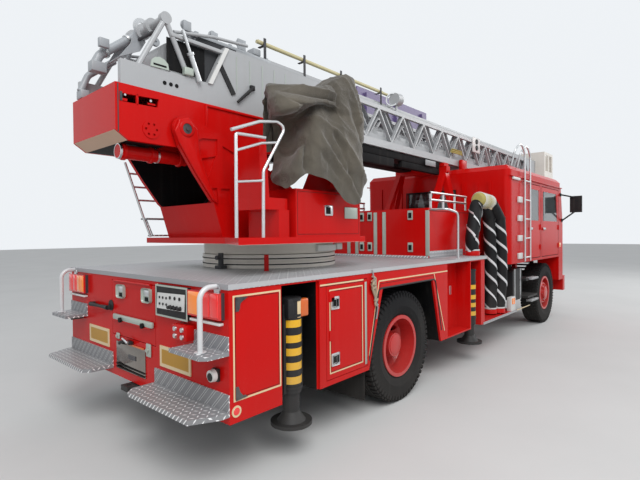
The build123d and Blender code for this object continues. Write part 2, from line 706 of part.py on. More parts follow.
def jack_beam(index, side):
    """Square beam that slides across the frame, with the leg's round outer tube on its end."""
    leg_x = JACK_LEG_X[index]
    beam_x = leg_x + side * BEAM_OFFSET_X
    tube_y = side * LEG_Y
    half = BEAM_WIDTH / 2
    beam = block(beam_x - half, beam_x + half, -side * BEAM_INNER_Y, side * (LEG_Y - LEG_TUBE_R + 30),
                 BEAM_MID_Z - BEAM_HEIGHT / 2, BEAM_MID_Z + BEAM_HEIGHT / 2)
    beam += upright(leg_x, tube_y, LEG_TUBE_LOW_Z, LEG_TUBE_TOP_Z, LEG_TUBE_R)
    beam -= upright(leg_x, tube_y, LEG_TUBE_LOW_Z - 1, LEG_TUBE_TOP_Z - LEG_WALL, LEG_TUBE_R - LEG_WALL)
    return beam


def jack_leg(index, side):
    leg_x = JACK_LEG_X[index]
    y = side * LEG_Y
    low_r, top_r, cone_h = FOOT_CONE
    plate_z = FOOT_LOW_Z + FOOT_SHEET
    leg = upright(leg_x, y, plate_z, LEG_TUBE_TOP_Z - LEG_WALL - 10, LEG_TUBE_R - LEG_WALL - LEG_GAP)
    leg += Pos(leg_x, y, plate_z + cone_h / 2) * Cone(low_r, top_r, cone_h)
    leg += upright(leg_x, y, FOOT_LOW_Z, plate_z, FOOT_R)
    return leg


# Turntable

def slewing_ring():
    """Fixed lower ring that stands on the deck."""
    ring = upright(SLEW_X, 0, DECK_TOP_Z, RING_TOP_Z, RING_R)
    ring -= upright(SLEW_X, 0, DECK_TOP_Z - 1, RING_TOP_Z + 1, RING_BORE_R)
    groove = upright(SLEW_X, 0, RING_GROOVE_Z - 8, RING_GROOVE_Z + 8, RING_R + 5)
    groove -= upright(SLEW_X, 0, RING_GROOVE_Z - 10, RING_GROOVE_Z + 10, RING_R - 20)
    return ring - groove


def cheek():
    """Right cheek plate: pivot boss and pressed pockets between its ribs."""
    inner, out = -CHEEK_IN_Y, -CHEEK_IN_Y - CHEEK_SHEET
    plate = side_plate(CHEEK, out, inner)
    plate += pin_y(PIVOT_X, PIVOT_Z, PIVOT_BOSS_R, out, inner)
    for pocket in CHEEK_POCKETS:
        plate -= side_plate(pocket, out - 1, out + CHEEK_RIB)
    return plate - pin_y(PIVOT_X, PIVOT_Z, PIVOT_R + BEARING_FIT, out - 1, inner + 1)


def lift_bracket():
    """Pair of plates on the table that holds the right lift cylinder's base pin."""
    x, z = LIFT_BASE_X, LIFT_BASE_Z
    stand = LIFT_EYE_WIDTH / 2 + 1
    shapes = []
    for way in (-1, 1):
        y = -LIFT_Y + way * stand
        shapes.append(side_plate([(x - 85, TABLE_TOP_Z), (x + 130, TABLE_TOP_Z), (x + 55, z + 40),
                                  (x - 55, z + 40)], y, y + way * LUG_SHEET))
    shapes.append(pin_y(x, z, LIFT_PIN_R, -LIFT_Y - 70, -LIFT_Y + 70))
    return joined(*shapes)


def turntable_frame():
    """Base plate on its ring, two cheeks, the rear apron and the lift cylinder brackets."""
    base = flat_plate([(TABLE_REAR_X, -550), (230, TABLE_RIGHT_Y), (TABLE_FRONT_X - 380, TABLE_RIGHT_Y),
                       (TABLE_FRONT_X, -TABLE_LEFT_Y), (TABLE_FRONT_X, TABLE_LEFT_Y),
                       (TABLE_REAR_X, TABLE_LEFT_Y)], TABLE_LOW_Z, TABLE_TOP_Z)
    upper = upright(SLEW_X, 0, RING_TOP_Z + 6, TABLE_LOW_Z, RING_R - 15)
    upper += upright(SLEW_X, 0, DECK_TOP_Z + 20, TABLE_LOW_Z, RING_BORE_R - 6)
    upper -= upright(SLEW_X, 0, DECK_TOP_Z, TABLE_LOW_Z + 1, RING_BORE_R - 40)
    apron = side_plate(APRON, -CHEEK_IN_Y, CHEEK_IN_Y)
    return apart(base, upper, apron, *both_sides(cheek(), lift_bracket()))


def operator_station():
    """Control box with console at the right of the turntable, and the operator's seat."""
    z = TABLE_TOP_Z
    box = block(832, 1670, -1000, -560, z, 1960)
    console = side_plate([(1260, 1960), (1600, 1960), (1580, 2260), (1440, 2290)], -960, -640)
    seat = block(690, 800, -960, -600, z, 1790)
    cushion = block(540, 800, -940, -620, 1790, 1880)
    back = side_plate([(540, 1880), (620, 1880), (590, 2330), (520, 2330)], -930, -630)
    return apart(box, console, seat, cushion, back)


def station_rail():
    """Bent guard rail at the station's rear edge and a small access ladder at the left."""
    z, r, y = TABLE_TOP_Z, RAIL_TUBE_R, RAIL_Y
    low_post = pipe([(264, y, z), (264, y, 2304), (533, y, 2304)], r, 45)
    hoop = pipe([(494, y, z), (494, y, 2067), (732, y, 2403), (686, y, 2447), (500, y, 2422),
                 (430, y, 2304)], r, 24)
    rail = joined(low_post, hoop, bar_between((264, y, 1980), (494, y, 1980), 12),
                  bar_between((264, y, 2185), (576, y, 2185), 12))
    (top_x, top_z), (foot_x, foot_z), y, width = ACCESS_LADDER
    ladder = []
    for shift in (0, width):
        ladder.append(bar_between((foot_x + shift, y, foot_z + 20), (top_x + shift, y, top_z), 18))
        ladder.append(block(foot_x + shift - 30, foot_x + shift + 30, y - 35, y + 35, foot_z, foot_z + 25))
    for step_z in ACCESS_STEPS_Z:
        x = foot_x + (top_x - foot_x) * (step_z - foot_z) / (top_z - foot_z)
        ladder.append(bar_between((x, y, step_z), (x + width, y, step_z), 14))
    return apart(rail, joined(*ladder))


def tarpaulin():
    """Plain closed solid where the canvas cover hangs over the console."""
    outer_y, inner_y = min(y for _, y in COVER_PLAN), max(y for _, y in COVER_PLAN)
    return (side_plate(COVER, outer_y, inner_y) & flat_plate(COVER_PLAN, *COVER_Z)) - operator_station()


# Elevating frame, cylinders and ladder

def arm_web():
    """Right web of the arm, with the long slot over its tail and the drilled plate under it."""
    out, inner = -ARM_OUT_Y, -ARM_OUT_Y + ARM_SHEET
    chin_x, chin_z = ARM_CHIN
    web = side_plate([(ARM_REAR_X, ARM_TOP_Z), (ARM_REAR_X, ARM_LOW_Z + chin_z),
                      (ARM_REAR_X + chin_x, ARM_LOW_Z), *ARM_BELLY, (ARM_FRONT_X, ARM_TOP_Z)], out, inner)
    web -= side_plate(ARM_SLOT, out - 1, inner + 1)
    x, z, radius = HOLE_PLATE
    web += pin_y(x, z, radius, out - 6, out)
    for hole in range(6):
        turn = 2 * math.pi * hole / 6
        web -= pin_y(x + 42 * math.cos(turn), z + 42 * math.sin(turn), 9, out - 7, out + 8)
    web += pin_y(PIVOT_X, PIVOT_Z, PIVOT_R, -CHEEK_IN_Y - CHEEK_SHEET - 12, inner + 30)
    return web


def lift_lugs():
    """Right lug pair that holds the rod's eye, with the pin's heads outside it."""
    x, z = LIFT_EYE_X, LIFT_EYE_Z
    stand = LIFT_EYE_WIDTH / 2 + 6
    top = ARM_TOP_Z - ARM_SHEET
    shapes = []
    for way in (-1, 1):
        y = -LIFT_Y + way * stand
        lug = side_plate([(x - 75, top), (x + 75, top), (x + 45, z - 45), (x - 45, z - 45)],
                         y, y + way * LUG_SHEET)
        shapes.append(lug + pin_y(x, z, LIFT_PIN_R, y, y + way * (LUG_SHEET + 10)))
    return shapes


def elevating_frame():
    """Open-bottomed arm round the pivot, closed as a box behind it."""
    inner = ARM_OUT_Y - ARM_SHEET
    chin_x, chin_z = ARM_CHIN
    sheet = ARM_SHEET
    rear, low, top = ARM_REAR_X, ARM_LOW_Z, ARM_TOP_Z - ARM_SHEET
    top_plate = block(rear, ARM_FRONT_X, -inner, inner, top, ARM_TOP_Z)
    rear_plate = block(rear, rear + sheet, -inner, inner, low + chin_z, top)
    chin = side_plate([(rear, low + chin_z), (rear + chin_x, low), (rear + chin_x, low + sheet),
                       (rear + sheet, low + chin_z)], -inner, inner)
    floor = block(rear + chin_x, TAIL_BOX_X, -inner, inner, low, low + sheet)
    bulkhead = block(TAIL_BOX_X - sheet, TAIL_BOX_X, -inner, inner, low + sheet, top)
    return apart(top_plate, rear_plate, chin, floor, bulkhead, *both_sides(arm_web(), *lift_lugs()))


def lift_line():
    """Length and direction of the closed lift cylinder."""
    dx = LIFT_EYE_X - LIFT_BASE_X
    dz = LIFT_EYE_Z - LIFT_BASE_Z
    length = math.hypot(dx, dz)
    return length, dx / length, dz / length


def on_lift_line(distance, y):
    _, ux, uz = lift_line()
    return LIFT_BASE_X + ux * distance, y, LIFT_BASE_Z + uz * distance


def lift_barrels():
    """Two cylinder barrels: eye, neck, tube and gland."""
    length = lift_line()[0]
    mouth = length - BARREL_MOUTH
    solids = []
    for y in (-LIFT_Y, LIFT_Y):
        half = LIFT_EYE_WIDTH / 2
        barrel = bar_between(on_lift_line(100, y), on_lift_line(mouth, y), LIFT_BARREL_R)
        barrel += bar_between(on_lift_line(0, y), on_lift_line(101, y), 38)
        barrel += pin_y(LIFT_BASE_X, LIFT_BASE_Z, LIFT_EYE_R, y - half, y + half)
        barrel -= pin_y(LIFT_BASE_X, LIFT_BASE_Z, LIFT_PIN_R + BEARING_FIT, y - 100, y + 100)
        barrel -= bar_between(on_lift_line(125, y), on_lift_line(mouth - 45, y), LIFT_ROD_R + 16)
        barrel -= bar_between(on_lift_line(mouth - 46, y), on_lift_line(mouth + 1, y),
                              LIFT_ROD_R + BEARING_FIT)
        solids.append(barrel)
    return apart(*solids)


def lift_rods():
    """Two cylinder rods: piston, rod and eye."""
    length = lift_line()[0]
    solids = []
    for y in (-LIFT_Y, LIFT_Y):
        half = LIFT_EYE_WIDTH / 2
        rod = bar_between(on_lift_line(135, y), on_lift_line(length - 40, y), LIFT_ROD_R)
        rod += bar_between(on_lift_line(135, y), on_lift_line(175, y), LIFT_ROD_R + 15.9)
        rod += pin_y(LIFT_EYE_X, LIFT_EYE_Z, LIFT_EYE_R, y - half, y + half)
        solids.append(rod)
    return apart(*solids)


def truss_side(name):
    """Right side of a ladder section above its floor: chords with braces between."""
    half, low, top, rear, front = LADDER_SECTIONS[name]
    y0, y1 = -half, -half + CHORD_THICK
    wall = block(rear, front, y0, y1, low + LADDER_FLOOR, top)
    z0, z1 = low + LOW_CHORD_H, top - TOP_CHORD_H
    length = front - rear - 2 * END_MARGIN
    bays = max(1, round(length / PANEL_PITCH))
    pitch = length / bays
    brace = BRACE_W / 2
    closed_to = SIDE_SHEET_END_X if name == "base_ladder" else rear
    windows = []
    for bay in range(bays):
        x = rear + END_MARGIN + bay * pitch
        if x < closed_to:
            continue
        mid = x + pitch / 2
        windows.append(side_plate([(x + brace, z0), (x + pitch - brace, z0), (mid, z1 - 12)], y0 - 1, y1 + 1))
        if bay < bays - 1:
            windows.append(side_plate([(mid + brace + 8, z1), (mid + pitch - brace - 8, z1),
                                       (x + pitch, z0 + 12)], y0 - 1, y1 + 1))
    return wall - windows


def ladder_floor(name):
    """Lower chords of a ladder section with the rungs between them."""
    half, low, _, rear, front = LADDER_SECTIONS[name]
    inner = half - CHORD_THICK
    chord = block(rear, front, -half, -inner, low, low + LADDER_FLOOR)
    count = int((front - rear - 2 * END_MARGIN) // RUNG_PITCH) + 1
    rungs = []
    for rung in range(count):
        x = rear + END_MARGIN + rung * RUNG_PITCH
        rungs.append(block(x, x + RUNG_SIZE, -inner, inner, low + 12, low + 12 + RUNG_SIZE))
    return joined(*both_sides(chord), *rungs)


def ladder_section(name):
    return apart(ladder_floor(name), *both_sides(truss_side(name)))


def base_ladder():
    """Lowest section, with the winch frame and its drum over the rear end and a searchlight."""
    half, low, top, rear, _ = LADDER_SECTIONS["base_ladder"]
    inner = half - CHORD_THICK
    apex_x, apex_z = WINCH_APEX
    leg_r = CHORD_THICK / 2
    y = -half + leg_r
    side = truss_side("base_ladder")
    (tail_x, tail_z), (edge_x, edge_z) = BASE_TAIL
    side -= side_plate([(rear - 1, tail_z), (tail_x, tail_z), (edge_x, edge_z), (rear - 1, edge_z)],
                       -half - 1, -inner + 1)
    for foot_x in WINCH_FEET_X:
        side += bar_between((foot_x, y, low + 60), (apex_x, y, apex_z), leg_r)
    side += pin_y(apex_x, apex_z, 45, -half, -inner)
    cross_bar = pin_y(apex_x, apex_z, 30, -inner, inner)
    for sheave_y in SHEAVE_Y:
        cross_bar += pin_y(apex_x, apex_z, 60, sheave_y - 20, sheave_y + 20)
    drum_x, drum_z, drum_r = DRUM
    drum = pin_y(drum_x, drum_z, drum_r, -inner + 60, inner - 60)
    for way in (-1, 1):
        drum += side_plate([(drum_x - 90, low + LADDER_FLOOR), (drum_x + 90, low + LADDER_FLOOR),
                            (drum_x + 40, drum_z + 40), (drum_x - 40, drum_z + 40)],
                           way * (inner - 60), way * inner)
    lamp_x, lamp_z, lamp_r = SEARCHLIGHT
    lamp = block(lamp_x - 12, lamp_x + 12, -half, -half + 24, top, lamp_z)
    lamp += bar_between((lamp_x - 50, -half + 12, lamp_z), (lamp_x + 60, -half + 12, lamp_z + 8), lamp_r)
    return apart(ladder_floor("base_ladder"), *both_sides(side), cross_bar, drum, lamp)


def side_board():
    """Plain board on brackets along the left side of the base section."""
    half = LADDER_SECTIONS["base_ladder"][0]
    top = LADDER_SECTIONS["base_ladder"][2]
    x0, x1, z0, z1, sheet = SIDE_BOARD
    board = block(x0, x1, half, half + sheet, z0, z1)
    for x in (x0 + 200, (x0 + x1) / 2, x1 - 200):
        board += block(x - 25, x + 25, half - CHORD_THICK, half, top, z1 - 60)
    return board


def tip_basket():
    """Folded rescue cage on the end of the top section."""
    x0, x1 = LADDER_SECTIONS["fly_ladder"][4], TIP_END_X
    z0, z1 = BASKET_Z
    half, sheet = BASKET_HALF_WIDTH, BASKET_SHEET
    side = block(x0, x1, -half, -half + sheet, z0 + sheet, z1)
    for x in (x0 + 80, x0 + 380):
        side -= block(x, x + 240, -half - 1, -half + sheet + 1, z0 + 180, z1 - 60)
    inner = half - sheet
    return apart(block(x0, x1, -half, half, z0, z0 + sheet), *both_sides(side),
                 block(x0, x0 + sheet, -inner, inner, z0 + sheet, z1),
                 block(x1 - sheet, x1, -inner, inner, z0 + sheet, z1))


def ladder_rest():
    """Gantry behind the cab that carries the parked ladder on flat pads."""
    x0, x1 = REST_X
    z0, z1 = MID_TOP_Z, REST_TOP_Z
    beam_low = z1 - 90
    post = cross_plate([(-560, z0), (-480, z0), (-340, beam_low), (-420, beam_low)], x0, x1)
    stay = side_plate([(4200, z0), (4300, z0), (x0, z1 - 160), (x0, z1 - 60)], -420, -340)
    ladder_low = LADDER_SECTIONS["base_ladder"][1]
    pad = block(x0 - 10, x1 + 10, -410, -280, z1, ladder_low - REST_GAP)
    return apart(block(x0, x1, -440, 440, beam_low, z1), *both_sides(post, stay, pad))


def mid_locker():
    """Equipment locker between turntable and cab, with a low rail round its roof."""
    z = DECK_TOP_Z
    shapes = box_of_plates(MID_REAR_X, MID_FRONT_X, -MID_HALF, MID_HALF, z, MID_TOP_Z, PANEL)
    leg = block(DECK_END_X + 60, MID_FRONT_X - 60, -RAIL_OUT_Y, -RAIL_OUT_Y + 60, RAIL_TOP_Z, z)
    rail_y = -MID_HALF + 40
    first, _, last = MID_RAIL_X
    rail = joined(*(upright(x, rail_y, MID_TOP_Z, 2090, 10) for x in MID_RAIL_X),
                  bar_between((first - 20, rail_y, 2090), (last + 20, rail_y, 2090), 14),
                  bar_between((first - 10, rail_y, 2000), (last + 10, rail_y, 2000), 10))
    return apart(*shapes, *both_sides(leg, rail))


def suction_hoses():
    """Three stiff hoses that stand on the deck and low platform, and a strainer across them."""
    hoses = []
    for x, low in HOSE_FEET:
        hose = upright(x, HOSE_Y, low, low + 90, HOSE_R + 10)
        hose += bar_between((x, HOSE_Y, low + 80), (x, HOSE_Y + HOSE_LEAN, HOSE_TOP_Z), HOSE_R)
        hoses.append(hose)
    (x0, z0), (x1, z1), radius = STRAINER
    y = HOSE_Y + HOSE_LEAN
    return joined(*hoses, bar_between((x0, y, z0), (x1, y, z1), radius))


# Cab

def cab_front_x(z):
    """Station of the cab's front face, which leans back above the belt line."""
    slope = CAB_LEAN / (GUTTER_Z - BELT_Z)
    return CAB_FRONT_X - slope * max(0, z - BELT_Z)


def cab_front_plate(z_levels, y0, y1):
    """Wall of the cab's leaning front between heights."""
    faces = [(cab_front_x(z), z) for z in z_levels]
    backs = [(x - CAB_WALL, z) for x, z in faces[::-1]]
    return side_plate(faces + backs, y0, y1)


def cab_side():
    """Right cab side: rear corner, quarter panel, sills, pillars, top rails and front skirt."""
    out, wall, radius = CAB_HALF_WIDTH, CAB_WALL, CAB_CORNER_R
    z0, z1 = CAB_FLOOR_Z, GUTTER_Z
    y0, y1 = -out, -out + wall
    corner_x = CAB_REAR_X + radius
    corner = upright(corner_x, -out + radius, z0, z1, radius) - upright(corner_x, -out + radius, z0 - 1, z1 + 1,
                                                                        radius - wall)
    corner &= block(CAB_REAR_X, corner_x, -out, -out + radius, z0, z1)
    door_low, door_top = DOOR_LOW_Z, DOOR_TOP_Z
    rear0, rear1 = REAR_DOOR
    front0, front1 = FRONT_DOOR
    boxes = ((corner_x, rear0, z0, z1), (rear0, rear1, z0, door_low), (rear0, rear1, door_top, z1),
             (rear1, front0, z0, z1), (front0, front1, z0, door_low), (front0, front1, door_top, z1),
             (SKIRT_X, CAB_FRONT_X, SKIRT_LOW_Z, z0))
    pillar = side_plate([(front1, z0), (CAB_FRONT_X, z0), (CAB_FRONT_X, BELT_Z), (cab_front_x(z1), z1),
                         (front1, z1)], y0, y1)
    skirt_rear = block(SKIRT_X, SKIRT_X + wall, y1, -860, SKIRT_LOW_Z, z0)
    screen_post = cab_front_plate((WINDOW_LOW_Z, WINDOW_TOP_Z), y1, -out + SCREEN_MARGIN)
    return [corner, pillar, skirt_rear, screen_post,
            *(block(a, b, y0, y1, low, high) for a, b, low, high in boxes)]


def cab_shell():
    """Hollow crew cab below the roof: floor, ribbed rear wall, sides and front."""
    out, wall = CAB_HALF_WIDTH, CAB_WALL
    z0, z1 = CAB_FLOOR_Z, GUTTER_Z
    inner = out - wall
    floor = block(CAB_REAR_X + CAB_CORNER_R, CAB_FRONT_X - wall, -inner, inner, z0, z0 + CAB_FLOOR_SHEET)
    half, win_low, win_top = REAR_WINDOW
    rear_y = out - CAB_CORNER_R
    rear = block(CAB_REAR_X, CAB_REAR_X + wall, -rear_y, rear_y, z0, z1)
    rear -= block(CAB_REAR_X - 1, CAB_REAR_X + wall + 1, -half, half, win_low, win_top)
    for y in (-950, -750, -550, 550, 750, 950):
        rear += block(CAB_REAR_X - 18, CAB_REAR_X, y - 25, y + 25, z0 + 60, z1 - 60)
    sole = block(CAB_REAR_X + wall, CAB_REAR_X + CAB_CORNER_R, -rear_y, rear_y, z0, z0 + CAB_FLOOR_SHEET)
    front = cab_front_plate((z0, BELT_Z, WINDOW_LOW_Z), -inner, inner)
    header = cab_front_plate((WINDOW_TOP_Z, z1), -inner, inner)
    mounts = []
    for x in (5150, 7660):
        mounts.append(block(x, x + 100, -RAIL_OUT_Y, -RAIL_OUT_Y + RAIL_FLANGE, RAIL_TOP_Z, z0))
    return apart(floor, rear, sole, front, header, *both_sides(*cab_side(), *mounts))


def cab_roof():
    """Raised moulded roof cap with rounded edges."""
    out = CAB_HALF_WIDTH
    x0, x1 = CAB_REAR_X, cab_front_x(GUTTER_Z)
    cap = block(x0, x1, -out, out, GUTTER_Z, ROOF_TOP_Z)
    cap = fillet(cap.edges().filter_by(Axis.Z), 80)
    cap = chamfer(cap.faces().sort_by(Axis.Z)[-1].edges(), 70)
    cap -= block(x0 + 90, x1 - 90, -out + 90, out - 90, GUTTER_Z - 5, ROOF_TOP_Z - 25)
    return cap


def cab_door(span, window, side):
    """Cab door with a window opening, a pull handle and two hinge barrels at its front edge."""
    a, b = span
    gap = DOOR_GAP
    out = CAB_HALF_WIDTH
    edge = b - gap
    door = block(a + gap, edge, -out, -out + DOOR_SHEET, DOOR_LOW_Z + gap, DOOR_TOP_Z - gap)
    door -= side_plate(window, -out - 1, -out + DOOR_SHEET + 1)
    door += block(a + gap + 60, a + gap + 180, -out - 14, -out, BELT_Z - 130, BELT_Z - 100)
    for z in (DOOR_LOW_Z + 120, BELT_Z - 120):
        door += block(edge - 40, edge, -out - 4, -out, z, z + 90)
        door += upright(edge, -out - HINGE_STAND, z, z + 90, HINGE_R)
    return door if side < 0 else left_of(door)


def cab_glass():
    """Windscreen and rear window panes."""
    side = CAB_HALF_WIDTH - SCREEN_MARGIN
    mid = CAB_WALL / 2
    screen = side_plate([(cab_front_x(WINDOW_LOW_Z) - mid, WINDOW_LOW_Z),
                         (cab_front_x(WINDOW_LOW_Z) - mid + 8, WINDOW_LOW_Z),
                         (cab_front_x(WINDOW_TOP_Z) - mid + 8, WINDOW_TOP_Z),
                         (cab_front_x(WINDOW_TOP_Z) - mid, WINDOW_TOP_Z)], -side, side)
    half, low, top = REAR_WINDOW
    return apart(screen, block(CAB_REAR_X + 12, CAB_REAR_X + 20, -half, half, low, top))


def front_panel():
    """Grille of level bars above a bumper."""
    x, out = CAB_FRONT_X, CAB_HALF_WIDTH
    near, far, low, top = BUMPER
    bumper = block(x + near, x + far, -out, out, low, top)
    bumper = fillet(bumper.edges().filter_by(Axis.Z).group_by(Axis.X)[-1], 90)
    bumper += block(x, x + near + 40, -RAIL_OUT_Y, RAIL_OUT_Y, top - 60, top - 5)
    rows, pitch, bar_h, half = GRILLE
    grille_z = top + 40
    shapes = [bumper, block(x, x + 30, -half - 60, half + 60, top - 20, grille_z)]
    for row in range(rows):
        z = grille_z + row * pitch
        shapes.append(block(x + 4, x + 40, -half, half, z, z + bar_h))
    for y in GRILLE_POST_Y:
        shapes.append(block(x, x + 20, y, y + 30, top + 20, CAB_FLOOR_Z - 30))
    return joined(*shapes)


def front_lamps():
    _, far, low, top = BUMPER
    x, z = CAB_FRONT_X + far, (low + top) / 2
    y, radius, depth = HEAD_LAMP
    return apart(*both_sides(bar_between((x, -y, z), (x + depth, -y, z), radius)))


def cab_interior():
    """Front seats, crew bench, dashboard and steering wheel."""
    z = CAB_FLOOR_Z + CAB_FLOOR_SHEET
    shapes = []
    for y in (-FRONT_SEAT_Y, FRONT_SEAT_Y):
        shapes.append(block(6600, 7060, y - SEAT_HALF, y + SEAT_HALF, z, z + SEAT_H))
        shapes.append(side_plate([(6480, z), (6600, z), (6600, z + SEAT_H), (6530, z + SEAT_BACK_H),
                                  (6440, z + SEAT_BACK_H)], y - SEAT_HALF + 10, y + SEAT_HALF - 10))
    back_x, bench_x, front_x, half, back_h = CREW_BENCH
    shapes.append(block(bench_x, front_x, -half, half, z, z + SEAT_H))
    shapes.append(block(back_x, bench_x, -half, half, z, z + back_h))
    dash = side_plate([(7560, z), (7800, z), (7800, z + 560), (7500, z + 540)], -1150, 1150)
    wheel_x, above, wheel_r, grip_r = STEERING_WHEEL
    wheel_at = Pos(wheel_x, FRONT_SEAT_Y, z + above) * Rot(0, 30, 0)
    column = bar_between((wheel_x, FRONT_SEAT_Y, z + above), (wheel_x + 220, FRONT_SEAT_Y, z + 300), 22)
    shapes.append(joined(dash, column, wheel_at * Torus(wheel_r, grip_r),
                         wheel_at * Box(2 * wheel_r, 2 * grip_r, grip_r)))
    return apart(*shapes)


def mirrors():
    """Door mirrors on two arms each."""
    y = -MIRROR_Y
    foot_y = -CAB_HALF_WIDTH - 15
    mirror_set = block(7925, 7975, y - 100, y + 100, 1970, 2280)
    for z, x, foot_z in ((2250, 7700, 2300), (2000, 7800, 1820)):
        mirror_set += bar_between((7950, y, z), (x, foot_y, foot_z), 14)
        mirror_set += block(x - 30, x + 30, -CAB_HALF_WIDTH - 16, -CAB_HALF_WIDTH, foot_z - 30, foot_z + 30)
    return apart(*both_sides(mirror_set))


def roof_ladder():
    """Two-stile ladder up the cab's right side."""
    y = -CAB_HALF_WIDTH - 45
    low = CAB_FLOOR_Z + 80
    left_x, right_x = ROOF_LADDER_X
    shapes = []
    for x in ROOF_LADDER_X:
        shapes.append(upright(x, y, CAB_FLOOR_Z + 20, ROOF_TOP_Z, 14))
        for z in (low, GUTTER_Z - 60):
            shapes.append(bar_between((x, y, z), (x, -CAB_HALF_WIDTH, z), 10))
    for step in range(5):
        z = low + step * 290
        shapes.append(bar_between((left_x, y, z), (right_x, y, z), 11))
    return joined(*shapes)


def signal_lamps():
    """Rear lamp clusters, plate lamp and roof beacons."""
    cluster = block(-40, 0, -1200, -850, 1080, 1245)
    x, y, radius, height = BEACON
    beacon = upright(x, -y, ROOF_TOP_Z, ROOF_TOP_Z + height, radius)
    return apart(*both_sides(cluster, beacon), block(-12, 0, -60, 60, 620, 655))


def control_panel():
    return block(-30, 0, -835, -430, 1030, 1250)


NODES = {
    "chassis_frame": chassis_frame(),
    "engine_block": engine_block(),
    "rear_axle": rear_axle(),
    "front_axle": front_axle(),
    "side_tanks": side_tanks(),
    "rear_body": rear_body(),
    "deck_plate": deck_plate(),
    "rear_hatch": rear_hatch(),
    "rear_steps": rear_steps(),
    "slewing_ring": slewing_ring(),
    "turntable_frame": turntable_frame(),
    "operator_station": operator_station(),
    "station_rail": station_rail(),
    "tarpaulin": tarpaulin(),
    "elevating_frame": elevating_frame(),
    "lift_barrels": lift_barrels(),
    "lift_rods": lift_rods(),
    "base_ladder": base_ladder(),
    "second_ladder": ladder_section("second_ladder"),
    "third_ladder": ladder_section("third_ladder"),
    "fly_ladder": ladder_section("fly_ladder"),
    "side_board": side_board(),
    "tip_basket": tip_basket(),
    "ladder_rest": ladder_rest(),
    "mid_locker": mid_locker(),
    "suction_hoses": suction_hoses(),
    "cab_shell": cab_shell(),
    "cab_roof": cab_roof(),
    "cab_glass": cab_glass(),
    "front_panel": front_panel(),
    "front_lamps": front_lamps(),
    "cab_interior": cab_interior(),
    "mirrors": mirrors(),
    "roof_ladder": roof_ladder(),
    "signal_lamps": signal_lamps(),
    "control_panel": control_panel(),
}
for side, word in ((-1, "right"), (1, "left")):
    NODES[f"knuckle_{word}"] = knuckle(side)
    NODES[f"front_rim_{word}"] = front_wheel(side)
    NODES[f"front_tyre_{word}"] = tyre(FRONT_AXLE_X, side * FRONT_TRACK_HALF)
    NODES[f"rear_rim_{word}"] = rear_wheel(side)
    twin = [tyre(REAR_AXLE_X, side * y) for y in (TWIN_OUTER_Y, TWIN_OUTER_Y - TWIN_SPACING)]
    NODES[f"rear_tyre_{word}"] = apart(*twin)
    NODES[f"front_door_{word}"] = cab_door(FRONT_DOOR, FRONT_DOOR_WINDOW, side)
    NODES[f"rear_door_{word}"] = cab_door(REAR_DOOR, REAR_DOOR_WINDOW, side)
    NODES[f"locker_door_{word}"] = locker_door(side)
    for index, end in enumerate(("rear", "front")):
        NODES[f"{end}_jack_beam_{word}"] = jack_beam(index, side)
        NODES[f"{end}_jack_leg_{word}"] = jack_leg(index, side)
for node, shape in NODES.items():
    save(shape, node)
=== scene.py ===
import json
import math
import bmesh
import bpy
from mathutils import Matrix, Vector
from mathutils import noise as noise_3d


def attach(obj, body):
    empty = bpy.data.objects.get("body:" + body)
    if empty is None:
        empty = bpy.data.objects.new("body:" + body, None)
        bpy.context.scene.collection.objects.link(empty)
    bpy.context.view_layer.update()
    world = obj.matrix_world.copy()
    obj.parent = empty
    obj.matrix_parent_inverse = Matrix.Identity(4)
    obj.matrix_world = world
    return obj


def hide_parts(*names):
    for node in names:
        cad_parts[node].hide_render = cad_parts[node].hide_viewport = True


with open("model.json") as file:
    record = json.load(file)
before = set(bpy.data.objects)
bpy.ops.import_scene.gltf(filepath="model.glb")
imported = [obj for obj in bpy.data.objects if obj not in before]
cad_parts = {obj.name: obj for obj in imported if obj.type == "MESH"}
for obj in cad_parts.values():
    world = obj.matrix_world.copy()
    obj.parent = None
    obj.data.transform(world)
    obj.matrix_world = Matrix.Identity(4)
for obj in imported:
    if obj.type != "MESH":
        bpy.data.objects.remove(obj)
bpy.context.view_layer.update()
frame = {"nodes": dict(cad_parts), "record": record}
NODES = frame["nodes"]

# Stations are millimetres from the body's rear face, as in the part's source
MID_X = 5060
REAR_TO_MIDDLE = MID_X / 1000
ALONG, ACROSS, UP = (1, 0, 0), (0, 1, 0), (0, 0, 1)
SIDES = (("right", -1), ("left", 1))


def at(x, y, z):
    """A station point in mm, in the metres of the scene."""
    return Vector(((x - MID_X) / 1000, y / 1000, z / 1000))


# The photograph's camera: low, behind the right rear corner
EYE = (-1667, -3459, 1604)
YAW, PITCH, ROLL = 41.49, -0.80, -0.487
FOCAL_PX, PICTURE_PX, SENSOR_MM = 449.1, 640, 36.0


def make_camera():
    yaw, pitch, roll = (math.radians(angle) for angle in (YAW, PITCH, ROLL))
    ahead = Vector((math.cos(pitch) * math.cos(yaw), math.cos(pitch) * math.sin(yaw), math.sin(pitch)))
    level = ahead.cross(Vector(UP)).normalized()
    rise = level.cross(ahead)
    right = math.cos(roll) * level + math.sin(roll) * rise
    up = math.cos(roll) * rise - math.sin(roll) * level
    data = bpy.data.cameras.new("photo_view")
    data.sensor_width = SENSOR_MM
    data.lens = FOCAL_PX / PICTURE_PX * SENSOR_MM
    data.clip_end = 200
    camera = bpy.data.objects.new("photo_view", data)
    bpy.context.scene.collection.objects.link(camera)
    camera.matrix_world = Matrix.LocRotScale(at(*EYE), Matrix((right, up, -ahead)).transposed(), None)
    bpy.context.scene.camera = camera


make_camera()


# Shader helpers
def give(socket, term):
    """A number, a colour, a vector or another node's output, into a socket."""
    if isinstance(term, Value):
        term.tree.links.new(term.socket, socket)
    else:
        socket.default_value = term


